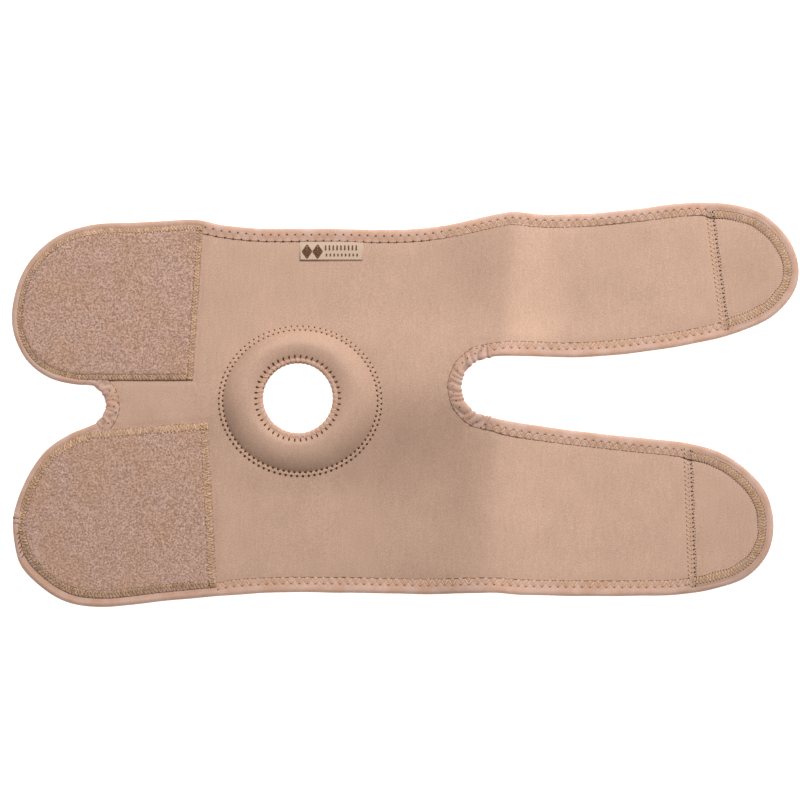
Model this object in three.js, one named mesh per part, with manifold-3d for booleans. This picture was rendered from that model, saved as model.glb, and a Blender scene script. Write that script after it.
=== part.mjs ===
// Wrap-around neoprene knee brace with an open kneecap hole, lying flat and face up.
// Millimetres. +X runs from the wings to the strap tips, +Y to the thigh edge, +Z up from where it lies.
// Every piece is drawn from the middle of the kneecap hole, and the group then puts the brace's own
// middle at the origin.
import * as THREE from 'three';
import { mergeVertices } from 'three/addons/utils/BufferGeometryUtils.js';
import Module from 'manifold-3d';

// Kneecap hole and the padded ring round it
const HOLE_RADIUS = 23.8;
const RIM_WIDTH = 4.8;
const RING_LENGTH = 112.3;
const RING_WIDTH = 103.5;
const RING_SHIFT = { x: 1.5, y: -2 };
const RING_CREST = 7;
const RING_RIM = 2;
const RING_EDGE = 1.2;

// Reach of the cut outline, from the middle of the hole
const THIGH_EDGE_Y = 115.4;
const CALF_EDGE_Y = -132.1;
const UPPER_WING_ROOT_X = -64.4;
const LOWER_WING_ROOT_X = -54.9;
const UPPER_WING_LENGTH = 131;
const LOWER_WING_LENGTH = 141;
const UPPER_STRAP_LENGTH = 209.8;
const LOWER_STRAP_LENGTH = 192.5;

// Slot between the straps and notch between the wings, both with a round end
const SLOT_CENTRE = { x: 131.2, y: 7.5 };
const SLOT_RADIUS = 20.5;
const NOTCH_CENTRE = { x: -144.6, y: -4.8 };
const NOTCH_RADIUS = 14.1;
const NOTCH_TOP_DEG = 64;
const NOTCH_FOOT_DEG = -58;
const SLOT_TAPE_LENGTH = 112;

// Layers
const PANEL_THICKNESS = 4.2;
const TAPE_STANDS_PROUD = 0.4;
const EDGE_THICKNESS = PANEL_THICKNESS + TAPE_STANDS_PROUD;
const TAPE_WALL = 1;
const TAPE_WIDTH = 8.8;
const GAP = 0.3;

// Puckers of the tape round the tight curves
const PLEAT_DEPTH = 1.3;
const NOTCH_PLEATS = 6;
const SLOT_PLEATS = 9;

// Loop pads on the wings, each with its seam at the wing's root. A seam's slant is its run along X for each
// millimetre of Y, from the long edge inwards.
const PAD_THICKNESS = 1.5;
const PAD_INSET = 5;
const UPPER_PAD_SLANT = 0.068;
const LOWER_PAD_SLANT = -0.053;
const UPPER_PAD_NOTCH_MARGIN = 3;
const LOWER_PAD_NOTCH_MARGIN = 3.5;
const LOWER_PAD_RISE = 7;

// Hook tabs under the strap tips, with the ramp by which the strap rises onto them
const TAB_THICKNESS = 1.2;
const TAB_INSET = 5.5;
const UPPER_TAB_LENGTH = 62;
const LOWER_TAB_LENGTH = 57.7;
const UPPER_TAB_SLANT = -0.13;
const LOWER_TAB_SLANT = -0.035;
const TAB_RAMP = 15;

// Label under the thigh edge
const LABEL_LENGTH = 42.8;
const LABEL_HEIGHT = 13;
const LABEL_THICKNESS = 1;
const LABEL_START_X = 1.2;

// How it lies: flat, but for the packing fold that runs across both straps. It is highest at the slot, and loses
// the fade's share of its height from there out to each long edge.
const FOLD_X = 137.6;
const FOLD_LEAN = 0.08;
const FOLD_HEIGHT = 13;
const FOLD_FADE = 0.35;
const FOLD_REACH_BODY = 78;
const FOLD_REACH_STRAP = 54;

// Fineness of the faceting
const OUTLINE_SAMPLES = 1500;
const OUTLINE_TOLERANCE = 0.22;
const ROUND_SEGMENTS = 44;
const MERGE_DISTANCE = 1e-4;
const FOLD_STEPS = 8;
const MARGIN = 30;

// Outline tables, clockwise. Each row is a knot, as shares of its stretch's own length and height.
// Upper wing beside the notch: out from the notch's top to the wing's end, up towards the thigh edge.
const UPPER_WING_NOTCH_SIDE = [
  { out: 0.239, up: 0.013 },
  { out: 0.562, up: 0.06 },
  { out: 0.801, up: 0.158 },
];
// Upper wing round its end: out from the root, up from the notch to the thigh edge.
const UPPER_WING = [
  { out: 0.982, up: 0.31 },
  { out: 0.997, up: 0.449 },
  { out: 0.961, up: 0.665 },
  { out: 0.873, up: 0.842 },
  { out: 0.748, up: 0.962 },
  { out: 0.592, up: 1.025 },
  { out: 0.28, up: 1.044 },
  { out: 0.036, up: 1.057 },
];
// Thigh edge of the body: along from the wing root to the slot, up from the hole to the thigh edge.
const THIGH_EDGE = [
  { along: 0.073, up: 1.023 },
  { along: 0.202, up: 1.002 },
  { along: 0.439, up: 1.003 },
  { along: 0.648, up: 0.994 },
  { along: 0.805, up: 1.012 },
  { along: 0.927, up: 1.05 },
];
// Upper strap: out from the slot's centre to the tip, up from the slot to the thigh edge.
const UPPER_STRAP = [
  { out: 0.005, up: 1.104 },
  { out: 0.062, up: 1.125 },
  { out: 0.159, up: 1.109 },
  { out: 0.321, up: 1.121 },
  { out: 0.484, up: 1.16 },
  { out: 0.646, up: 1.202 },
  { out: 0.792, up: 1.187 },
  { out: 0.89, up: 1.101 },
  { out: 0.971, up: 0.899 },
  { out: 1.0, up: 0.689 },
  { out: 0.987, up: 0.525 },
  { out: 0.925, up: 0.339 },
  { out: 0.808, up: 0.198 },
  { out: 0.646, up: 0.097 },
  { out: 0.451, up: 0.027 },
  { out: 0.256, up: -0.004 },
  { out: 0.11, up: 0.004 },
];
// Lower strap: out from the slot's centre to the tip, down from the slot to the calf edge.
const LOWER_STRAP = [
  { out: 0.102, down: 0.031 },
  { out: 0.279, down: 0.071 },
  { out: 0.491, down: 0.11 },
  { out: 0.703, down: 0.15 },
  { out: 0.809, down: 0.198 },
  { out: 0.908, down: 0.303 },
  { out: 0.975, down: 0.439 },
  { out: 1.0, down: 0.609 },
  { out: 0.98, down: 0.779 },
  { out: 0.9, down: 0.915 },
  { out: 0.781, down: 0.983 },
  { out: 0.668, down: 1.014 },
  { out: 0.456, down: 1.023 },
  { out: 0.102, down: 1.014 },
];
// Calf edge of the body: along from the slot to the wing root, down from the hole to the calf edge.
const CALF_EDGE = [
  { along: 0.0, down: 1.0 },
  { along: 0.26, down: 1.01 },
  { along: 0.553, down: 1.003 },
  { along: 0.773, down: 1.003 },
  { along: 0.974, down: 1.018 },
];
// Lower wing round its end: out from the root, down from the notch to the calf edge.
const LOWER_WING = [
  { out: 0.256, down: 1.053 },
  { out: 0.546, down: 1.089 },
  { out: 0.715, down: 1.064 },
  { out: 0.85, down: 0.971 },
  { out: 0.951, down: 0.842 },
  { out: 0.984, down: 0.696 },
  { out: 0.985, down: 0.55 },
];
// Lower wing beside the notch: out from the notch's foot to the wing's end, down towards the calf edge.
const LOWER_WING_NOTCH_SIDE = [
  { out: 0.848, down: 0.363 },
  { out: 0.617, down: 0.175 },
  { out: 0.325, down: 0.07 },
  { out: 0.079, down: 0.018 },
];
// Padded ring from the hole's rim to its sewn edge: share of the way across, share of the crest's height.
const RING_PROFILE = [
  { across: 0.02, rise: 0.32 },
  { across: 0.14, rise: 0.68 },
  { across: 0.32, rise: 0.95 },
  { across: 0.48, rise: 1.0 },
  { across: 0.66, rise: 0.93 },
  { across: 0.82, rise: 0.71 },
  { across: 0.94, rise: 0.42 },
];

// Looks of the materials
const FINISHES = {
  neoprene: { color: 0xc9a48c, roughness: 0.9 },
  binding: { color: 0xd9a58a, roughness: 0.8 },
  pile: { color: 0xb8947f, roughness: 1.0 },
  hooks: { color: 0xc0a088, roughness: 0.6 },
  label: { color: 0xd6bfae, roughness: 0.7 },
};

const wasm = await Module();
wasm.setup();

const radians = (degrees) => (degrees * Math.PI) / 180;
const onCircle = (centre, radius, degrees) => ({
  x: centre.x + radius * Math.cos(radians(degrees)),
  y: centre.y + radius * Math.sin(radians(degrees)),
});

// Knots of an arc from one angle to another, both ends included.
function arcKnots(centre, radius, fromDeg, toDeg, count) {
  return Array.from({ length: count }, (_, i) =>
    onCircle(centre, radius, fromDeg + ((toDeg - fromDeg) * i) / (count - 1)));
}

// The whole cut outline, clockwise, as one closed curve through the tables' knots and the two round ends.
function outlineCurve() {
  const notchTop = onCircle(NOTCH_CENTRE, NOTCH_RADIUS, NOTCH_TOP_DEG);
  const notchFoot = onCircle(NOTCH_CENTRE, NOTCH_RADIUS, NOTCH_FOOT_DEG);
  const slotTop = SLOT_CENTRE.y + SLOT_RADIUS;
  const slotFoot = SLOT_CENTRE.y - SLOT_RADIUS;
  const besideNotchTop = UPPER_WING_NOTCH_SIDE.map(({ out, up }) => ({
    x: THREE.MathUtils.lerp(notchTop.x, UPPER_WING_ROOT_X - UPPER_WING_LENGTH, out),
    y: THREE.MathUtils.lerp(notchTop.y, THIGH_EDGE_Y, up),
  }));
  const upperWing = UPPER_WING.map(({ out, up }) => ({
    x: UPPER_WING_ROOT_X - out * UPPER_WING_LENGTH,
    y: THREE.MathUtils.lerp(notchTop.y, THIGH_EDGE_Y, up),
  }));
  const thighEdge = THIGH_EDGE.map(({ along, up }) => ({
    x: UPPER_WING_ROOT_X + along * (SLOT_CENTRE.x - UPPER_WING_ROOT_X),
    y: up * THIGH_EDGE_Y,
  }));
  const upperStrap = UPPER_STRAP.map(({ out, up }) => ({
    x: SLOT_CENTRE.x + out * UPPER_STRAP_LENGTH,
    y: THREE.MathUtils.lerp(slotTop, THIGH_EDGE_Y, up),
  }));
  const lowerStrap = LOWER_STRAP.map(({ out, down }) => ({
    x: SLOT_CENTRE.x + out * LOWER_STRAP_LENGTH,
    y: THREE.MathUtils.lerp(slotFoot, CALF_EDGE_Y, down),
  }));
  const calfEdge = CALF_EDGE.map(({ along, down }) => ({
    x: SLOT_CENTRE.x + along * (LOWER_WING_ROOT_X - SLOT_CENTRE.x),
    y: down * CALF_EDGE_Y,
  }));
  const lowerWing = LOWER_WING.map(({ out, down }) => ({
    x: LOWER_WING_ROOT_X - out * LOWER_WING_LENGTH,
    y: THREE.MathUtils.lerp(notchFoot.y, CALF_EDGE_Y, down),
  }));
  const besideNotchFoot = LOWER_WING_NOTCH_SIDE.map(({ out, down }) => ({
    x: THREE.MathUtils.lerp(notchFoot.x, LOWER_WING_ROOT_X - LOWER_WING_LENGTH, out),
    y: THREE.MathUtils.lerp(notchFoot.y, CALF_EDGE_Y, down),
  }));
  const knots = [
    ...besideNotchTop,
    ...upperWing,
    ...thighEdge,
    ...upperStrap,
    ...arcKnots(SLOT_CENTRE, SLOT_RADIUS, 90, 270, 7),
    ...lowerStrap,
    ...calfEdge,
    ...lowerWing,
    ...besideNotchFoot,
    ...arcKnots(NOTCH_CENTRE, NOTCH_RADIUS, NOTCH_FOOT_DEG, NOTCH_TOP_DEG, 6),
  ];
  return new THREE.CatmullRomCurve3(knots.map(({ x, y }) => new THREE.Vector3(x, y, 0)), true);
}

// Outward puff of the tape where it is gathered round an arc: one rounded puff for each pleat.
function puff(point, centre, radius, fromDeg, toDeg, pleats) {
  const offset = new THREE.Vector2(point.x - centre.x, point.y - centre.y);
  const turned = THREE.MathUtils.euclideanModulo(THREE.MathUtils.radToDeg(offset.angle()) - fromDeg, 360);
  const share = turned / (toDeg - fromDeg);
  const onArc = Math.abs(offset.length() - radius) < radius / 4 && share < 1;
  return onArc ? PLEAT_DEPTH * Math.abs(Math.sin(Math.PI * pleats * share)) : 0;
}

// Dense samples of the outline: place, outward normal and gathered puff.
function sampleOutline() {
  const curve = outlineCurve();
  const places = curve.getSpacedPoints(OUTLINE_SAMPLES).slice(0, -1);
  return places.map((place, i) => {
    const before = places.at(i - 1);
    const after = places[(i + 1) % places.length];
    const normal = new THREE.Vector2(before.y - after.y, after.x - before.x).normalize();
    const notchPuff = puff(place, NOTCH_CENTRE, NOTCH_RADIUS, NOTCH_FOOT_DEG, NOTCH_TOP_DEG, NOTCH_PLEATS);
    const slotPuff = puff(place, SLOT_CENTRE, SLOT_RADIUS, 90, 270, SLOT_PLEATS);
    return { place: new THREE.Vector2(place.x, place.y), normal, puff: notchPuff + slotPuff };
  });
}

// The samples that a polyline needs to stay within the tolerance of the gathered outline.
function neededSamples(samples) {
  const points = samples.map(({ place, normal, puff: out }) => place.clone().addScaledVector(normal, out));
  const needed = new Set();
  const split = (first, last) => {
    const chord = points[last].clone().sub(points[first]);
    let furthest = 0;
    let at = first;
    for (let i = first + 1; i < last; i += 1) {
      const away = Math.abs(chord.cross(points[i].clone().sub(points[first]))) / chord.length();
      if (away > furthest) {
        furthest = away;
        at = i;
      }
    }
    needed.add(first);
    if (furthest > OUTLINE_TOLERANCE) {
      split(first, at);
      split(at, last);
    }
  };
  const half = Math.floor(points.length / 2);
  split(0, half);
  split(half, points.length - 1);
  needed.add(points.length - 1);
  return samples.filter((_, i) => needed.has(i));
}

const OUTLINE = neededSamples(sampleOutline());

// The outline moved inwards by a distance, with or without the puffs of the gathered tape.
function inset(distance, gathered = false) {
  return OUTLINE.map(({ place, normal, puff: out }) =>
    place.clone().addScaledVector(normal, (gathered ? out : 0) - distance));
}

// An ellipse as points, anticlockwise.
function ellipse(centre, radiusX, radiusY) {
  return Array.from({ length: ROUND_SEGMENTS }, (_, i) => {
    const turn = (2 * Math.PI * i) / ROUND_SEGMENTS;
    return new THREE.Vector2(centre.x + radiusX * Math.cos(turn), centre.y + radiusY * Math.sin(turn));
  });
}

const circle = (radius) => ellipse({ x: 0, y: 0 }, radius, radius);

// Seams: each starts on a long edge and leans along X as it runs inwards from there.
const seam = (startX, edgeY, slant) => (y) => new THREE.Vector2(startX + slant * (y - edgeY), y);
const upperPadSeam = seam(UPPER_WING_ROOT_X, THIGH_EDGE_Y, UPPER_PAD_SLANT);
const lowerPadSeam = seam(LOWER_WING_ROOT_X, CALF_EDGE_Y, LOWER_PAD_SLANT);
const upperTabStart = SLOT_CENTRE.x + UPPER_STRAP_LENGTH - UPPER_TAB_LENGTH;
const lowerTabStart = SLOT_CENTRE.x + LOWER_STRAP_LENGTH - LOWER_TAB_LENGTH;
const upperTabSeam = seam(upperTabStart, THIGH_EDGE_Y, UPPER_TAB_SLANT);
const lowerTabSeam = seam(lowerTabStart, CALF_EDGE_Y, LOWER_TAB_SLANT);

// Distance along the brace, measured square to the leaning fold.
const alongFold = ({ x, y }) => x - FOLD_LEAN * y;
const tabSeatStart = Math.min(
  alongFold(upperTabSeam(THIGH_EDGE_Y + MARGIN)),
  alongFold(lowerTabSeam(SLOT_CENTRE.y - SLOT_RADIUS)),
);

// Height of the lying brace's underside above the surface. The fold falls on both sides of its crest as a
// parabola that ends level with the surface.
function lieHeight(place) {
  const along = alongFold(place);
  const fromCrest = along - FOLD_X;
  const reach = fromCrest < 0 ? FOLD_REACH_BODY : FOLD_REACH_STRAP;
  const rise = Math.max(1 - Math.abs(fromCrest) / reach, 0) ** 2;
  const edgeY = place.y > SLOT_CENTRE.y ? THIGH_EDGE_Y : CALF_EDGE_Y;
  const towardsEdge = (place.y - SLOT_CENTRE.y) / (edgeY - SLOT_CENTRE.y);
  const seat = THREE.MathUtils.clamp((along - tabSeatStart + TAB_RAMP) / TAB_RAMP, 0, 1);
  return FOLD_HEIGHT * (1 - FOLD_FADE * towardsEdge) * rise + (TAB_THICKNESS + GAP) * seat;
}

// Evenly spaced numbers, both ends included.
const spread = (from, to, steps) =>
  Array.from({ length: steps + 1 }, (_, i) => from + ((to - from) * i) / steps);

// Lines of the grid that every lying surface bends at: along the brace, leaning with the fold, and across it.
const WING_TIP_X = Math.min(UPPER_WING_ROOT_X - UPPER_WING_LENGTH, LOWER_WING_ROOT_X - LOWER_WING_LENGTH);
const FAR_LEFT = WING_TIP_X - MARGIN;
const FAR_RIGHT = SLOT_CENTRE.x + Math.max(UPPER_STRAP_LENGTH, LOWER_STRAP_LENGTH) + MARGIN;
const STATIONS_ALONG = [
  FAR_LEFT,
  ...spread(FOLD_X - FOLD_REACH_BODY, FOLD_X, FOLD_STEPS).slice(0, -1),
  ...spread(FOLD_X, FOLD_X + FOLD_REACH_STRAP, FOLD_STEPS),
  tabSeatStart - TAB_RAMP,
  tabSeatStart,
  FAR_RIGHT,
];
const STATIONS_ACROSS = [CALF_EDGE_Y - MARGIN, SLOT_CENTRE.y, THIGH_EDGE_Y + MARGIN];

function solidFrom(geometry) {
  geometry.deleteAttribute('normal');
  geometry.deleteAttribute('uv');
  const merged = mergeVertices(geometry, MERGE_DISTANCE);
  return new wasm.Manifold(new wasm.Mesh({
    numProp: 3,
    vertProperties: merged.getAttribute('position').array,
    triVerts: new Uint32Array(merged.index.array),
  }));
}

// A closed shell over a grid of corners, low side and high side, with its four edges walled in.
function sheet(low, high) {
  const across = STATIONS_ACROSS.length;
  const positions = [low, high].flatMap((level) =>
    STATIONS_ALONG.flatMap((along) => STATIONS_ACROSS.flatMap((y) => {
      const x = along + FOLD_LEAN * y;
      return [x, y, lieHeight({ x, y }) + level];
    })));
  const layer = STATIONS_ALONG.length * across;
  const at = (i, j, upper) => i * across + j + (upper ? layer : 0);
  const faces = [];
  const quad = (a, b, c, d) => faces.push(a, b, c, a, c, d);
  for (let i = 0; i + 1 < STATIONS_ALONG.length; i += 1) {
    for (let j = 0; j + 1 < across; j += 1) {
      quad(at(i, j, true), at(i + 1, j, true), at(i + 1, j + 1, true), at(i, j + 1, true));
      quad(at(i, j, false), at(i, j + 1, false), at(i + 1, j + 1, false), at(i + 1, j, false));
    }
    quad(at(i, 0, false), at(i + 1, 0, false), at(i + 1, 0, true), at(i, 0, true));
    quad(at(i + 1, across - 1, false), at(i, across - 1, false), at(i, across - 1, true),
      at(i + 1, across - 1, true));
  }
  const last = STATIONS_ALONG.length - 1;
  for (let j = 0; j + 1 < across; j += 1) {
    quad(at(0, j + 1, false), at(0, j, false), at(0, j, true), at(0, j + 1, true));
    quad(at(last, j, false), at(last, j + 1, false), at(last, j + 1, true), at(last, j, true));
  }
  const geometry = new THREE.BufferGeometry();
  geometry.setAttribute('position', new THREE.Float32BufferAttribute(positions, 3));
  geometry.setIndex(faces);
  return solidFrom(geometry);
}

// An upright prism, tall enough to cut any sheet, with an optional hole.
function prism(points, hole = null) {
  const shape = new THREE.Shape(points);
  const geometry = new THREE.ExtrudeGeometry(shape, { depth: 3 * MARGIN, bevelEnabled: false });
  geometry.translate(0, 0, -MARGIN);
  const solid = solidFrom(geometry);
  return hole ? solid.subtract(prism(hole)) : solid;
}

// A closed band that joins rings of equal length into a loop: ring by ring round its section.
function bandOf(rings) {
  const count = rings[0].length;
  const positions = rings.flatMap((ring) => ring.flatMap(({ x, y, z }) => [x, y, z]));
  const faces = rings.flatMap((_, i) => {
    const here = i * count;
    const next = ((i + 1) % rings.length) * count;
    return rings[0].flatMap((__, j) => {
      const k = (j + 1) % count;
      return [here + j, here + k, next + k, here + j, next + k, next + j];
    });
  });
  const geometry = new THREE.BufferGeometry();
  geometry.setAttribute('position', new THREE.Float32BufferAttribute(positions, 3));
  geometry.setIndex(faces);
  return solidFrom(geometry);
}

// Neoprene panel: full thickness inside the tape, pinched thin where the tape grips the edge and the rim.
function neoprenePanel() {
  const grip = TAPE_WALL + GAP;
  const body = prism(inset(TAPE_WIDTH + GAP), circle(HOLE_RADIUS + RIM_WIDTH + GAP))
    .intersect(sheet(0, PANEL_THICKNESS));
  const flange = prism(inset(grip), circle(HOLE_RADIUS + RIM_WIDTH + GAP))
    .intersect(sheet(grip, EDGE_THICKNESS - grip));
  const rim = prism(circle(HOLE_RADIUS + 2 * RIM_WIDTH), circle(HOLE_RADIUS + grip))
    .intersect(sheet(grip, PANEL_THICKNESS));
  return body.add(flange).add(rim);
}

// The whole tape: folded over the panel's edge, open on its inner side.
function foldedTape() {
  const grip = TAPE_WALL;
  const band = prism(inset(0, true), inset(TAPE_WIDTH)).intersect(sheet(0, EDGE_THICKNESS));
  return band.subtract(prism(inset(grip)).intersect(sheet(grip, EDGE_THICKNESS - grip)));
}

// The block that cuts the tape where its notch stretch passes under the ends of the wing stretch.
function notchBlock(margin) {
  const top = onCircle(NOTCH_CENTRE, NOTCH_RADIUS, NOTCH_TOP_DEG);
  const foot = onCircle(NOTCH_CENTRE, NOTCH_RADIUS, NOTCH_FOOT_DEG);
  const reach = TAPE_WIDTH + PLEAT_DEPTH + MARGIN / 3;
  return prism([
    new THREE.Vector2(foot.x - margin, foot.y - reach),
    new THREE.Vector2(NOTCH_CENTRE.x + NOTCH_RADIUS + reach, foot.y - reach),
    new THREE.Vector2(NOTCH_CENTRE.x + NOTCH_RADIUS + reach, top.y + reach),
    new THREE.Vector2(top.x - margin, top.y + reach),
  ]);
}

// The block that cuts the tape where its slot stretch meets the straps' own stretches.
function slotBlock(margin) {
  const reach = SLOT_RADIUS + TAPE_WIDTH + MARGIN;
  const left = SLOT_CENTRE.x - reach;
  const right = SLOT_CENTRE.x + SLOT_TAPE_LENGTH + margin;
  return prism([
    new THREE.Vector2(left, SLOT_CENTRE.y - reach),
    new THREE.Vector2(right, SLOT_CENTRE.y - reach),
    new THREE.Vector2(right, SLOT_CENTRE.y + reach),
    new THREE.Vector2(left, SLOT_CENTRE.y + reach),
  ]);
}

// Folded tape round the rim of the hole, from the underside up over the ring's inner edge.
function holeEdging() {
  const top = PANEL_THICKNESS + GAP + RING_RIM + GAP + TAPE_WALL;
  const outer = HOLE_RADIUS + RIM_WIDTH;
  const wall = HOLE_RADIUS + TAPE_WALL;
  const profile = [
    [HOLE_RADIUS, 0], [outer, 0], [outer, TAPE_WALL], [wall, TAPE_WALL],
    [wall, top - TAPE_WALL], [outer, top - TAPE_WALL], [outer, top], [HOLE_RADIUS, top], [HOLE_RADIUS, 0],
  ].map(([radius, height]) => new THREE.Vector2(radius, height));
  const geometry = new THREE.LatheGeometry(profile, ROUND_SEGMENTS);
  geometry.rotateX(Math.PI / 2);
  return solidFrom(geometry);
}

// Padded ring on the panel: a cushion section blended from the round rim to the oval sewn edge.
function kneecapRing() {
  const seat = PANEL_THICKNESS + GAP;
  const rim = circle(HOLE_RADIUS + RIM_WIDTH + GAP);
  const edge = ellipse(RING_SHIFT, RING_LENGTH / 2, RING_WIDTH / 2);
  const lip = circle(HOLE_RADIUS + TAPE_WALL + GAP);
  const level = (points, height) => points.map(({ x, y }) => new THREE.Vector3(x, y, seat + height));
  const across = (share) => rim.map((point, i) => point.clone().lerp(edge[i], share));
  return bandOf([
    level(lip, 0),
    level(lip, RING_RIM),
    level(across(0), RING_RIM),
    ...RING_PROFILE.map(({ across: share, rise }) => level(across(share), rise * RING_CREST)),
    level(edge, RING_EDGE),
    level(edge, 0),
  ].reverse());
}

// Loop pad: the wing's own outline inset, cut along its seam and along the side that faces the notch.
function loopPad(seamLine, outerY, innerY, notchEnd) {
  const cut = prism([
    seamLine(innerY),
    seamLine(outerY),
    new THREE.Vector2(FAR_LEFT, outerY),
    new THREE.Vector2(FAR_LEFT, notchEnd.y),
    notchEnd,
  ]);
  const low = EDGE_THICKNESS + GAP;
  return prism(inset(PAD_INSET)).intersect(cut).intersect(sheet(low, low + PAD_THICKNESS));
}

function upperLoopPad() {
  const notchSideY = NOTCH_CENTRE.y + NOTCH_RADIUS + UPPER_PAD_NOTCH_MARGIN;
  const notchEnd = new THREE.Vector2(NOTCH_CENTRE.x, notchSideY);
  return loopPad(upperPadSeam, THIGH_EDGE_Y + MARGIN, notchSideY, notchEnd);
}

function lowerLoopPad() {
  const notchSideY = NOTCH_CENTRE.y - NOTCH_RADIUS - LOWER_PAD_NOTCH_MARGIN;
  const notchEnd = new THREE.Vector2(NOTCH_CENTRE.x, notchSideY);
  return loopPad(lowerPadSeam, CALF_EDGE_Y - MARGIN, notchSideY + LOWER_PAD_RISE, notchEnd);
}

// Hook tab under a strap tip: the tip's own outline inset, cut along the seam.
function hookTab(seamLine, outerY) {
  const tip = prism([
    seamLine(SLOT_CENTRE.y),
    seamLine(outerY),
    new THREE.Vector2(FAR_RIGHT, outerY),
    new THREE.Vector2(FAR_RIGHT, SLOT_CENTRE.y),
  ]);
  return prism(inset(TAB_INSET)).intersect(tip).intersect(sheet(-TAB_THICKNESS - GAP, -GAP));
}

// Label: a small cloth rectangle whose top meets the tape of the thigh edge.
function wovenLabel() {
  const foot = THIGH_EDGE_Y - TAPE_WIDTH - LABEL_HEIGHT;
  const cloth = prism([
    new THREE.Vector2(LABEL_START_X, foot),
    new THREE.Vector2(LABEL_START_X + LABEL_LENGTH, foot),
    new THREE.Vector2(LABEL_START_X + LABEL_LENGTH, THIGH_EDGE_Y),
    new THREE.Vector2(LABEL_START_X, THIGH_EDGE_Y),
  ]);
  const low = PANEL_THICKNESS + GAP;
  return prism(inset(TAPE_WIDTH + GAP)).intersect(cloth).intersect(sheet(low, low + LABEL_THICKNESS));
}

function meshOf(name, solid, finish) {
  const { vertProperties, triVerts } = solid.getMesh();
  const geometry = new THREE.BufferGeometry();
  geometry.setAttribute('position', new THREE.BufferAttribute(new Float32Array(vertProperties), 3));
  geometry.setIndex(new THREE.BufferAttribute(new Uint32Array(triVerts), 1));
  geometry.computeVertexNormals();
  const mesh = new THREE.Mesh(geometry, new THREE.MeshStandardMaterial({ ...finish, metalness: 0 }));
  mesh.name = name;
  return mesh;
}

const tape = foldedTape();

// The strip of the brace between two distances along it, measured square to the leaning fold.
function stripBlock(from, to) {
  const corner = (along, y) => new THREE.Vector2(along + FOLD_LEAN * y, y);
  return prism([
    corner(from, CALF_EDGE_Y - MARGIN),
    corner(to, CALF_EDGE_Y - MARGIN),
    corner(to, THIGH_EDGE_Y + MARGIN),
    corner(from, THIGH_EDGE_Y + MARGIN),
  ]);
}

// The tape of one long side, from the notch round the wing and the strap's tip to the slot. Its three stretches
// meet where the fold starts and ends.
function longSide(outerY) {
  const half = prism([
    new THREE.Vector2(FAR_LEFT, NOTCH_CENTRE.y),
    new THREE.Vector2(FAR_RIGHT, SLOT_CENTRE.y),
    new THREE.Vector2(FAR_RIGHT, outerY),
    new THREE.Vector2(FAR_LEFT, outerY),
  ]);
  const side = tape.subtract(notchBlock(GAP)).subtract(slotBlock(GAP)).intersect(half);
  const foldStart = FOLD_X - FOLD_REACH_BODY;
  const foldEnd = FOLD_X + FOLD_REACH_STRAP;
  return {
    body: side.intersect(stripBlock(FAR_LEFT, foldStart)),
    strap: side.intersect(stripBlock(foldStart + GAP, foldEnd)),
    tip: side.intersect(stripBlock(foldEnd + GAP, FAR_RIGHT)),
  };
}

const thighSide = longSide(THIGH_EDGE_Y + MARGIN);
const calfSide = longSide(CALF_EDGE_Y - MARGIN);

const brace = new THREE.Group();
brace.add(
  meshOf('neoprene_panel', neoprenePanel(), FINISHES.neoprene),
  meshOf('thigh_edge_binding', thighSide.body, FINISHES.binding),
  meshOf('upper_strap_binding', thighSide.strap, FINISHES.binding),
  meshOf('upper_tip_binding', thighSide.tip, FINISHES.binding),
  meshOf('calf_edge_binding', calfSide.body, FINISHES.binding),
  meshOf('lower_strap_binding', calfSide.strap, FINISHES.binding),
  meshOf('lower_tip_binding', calfSide.tip, FINISHES.binding),
  meshOf('notch_binding', tape.intersect(notchBlock(0)), FINISHES.binding),
  meshOf('slot_binding', tape.intersect(slotBlock(0)), FINISHES.binding),
  meshOf('kneecap_ring', kneecapRing(), FINISHES.neoprene),
  meshOf('hole_edging', holeEdging(), FINISHES.binding),
  meshOf('upper_loop_pad', upperLoopPad(), FINISHES.pile),
  meshOf('lower_loop_pad', lowerLoopPad(), FINISHES.pile),
  meshOf('upper_hook_tab', hookTab(upperTabSeam, THIGH_EDGE_Y + MARGIN), FINISHES.hooks),
  meshOf('lower_hook_tab', hookTab(lowerTabSeam, CALF_EDGE_Y - MARGIN), FINISHES.hooks),
  meshOf('woven_label', wovenLabel(), FINISHES.label),
);

const extent = new THREE.Box2().setFromPoints(inset(0, true));
const middle = extent.getCenter(new THREE.Vector2());
brace.position.set(-middle.x, -middle.y, 0);

export default brace;
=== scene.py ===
"""Looks of a flat wrap-around knee brace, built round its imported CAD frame.

Lengths in the classes are millimetres from the middle of the kneecap hole, with +X to the strap tips,
+Y to the thigh edge and +Z up. Workshop puts each finished mesh into the frame, in metres.
"""

from __future__ import annotations

import logging
import math
from dataclasses import dataclass, field
from enum import Enum

import bpy
import numpy as np
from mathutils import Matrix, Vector
from mathutils.geometry import delaunay_2d_cdt

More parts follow.
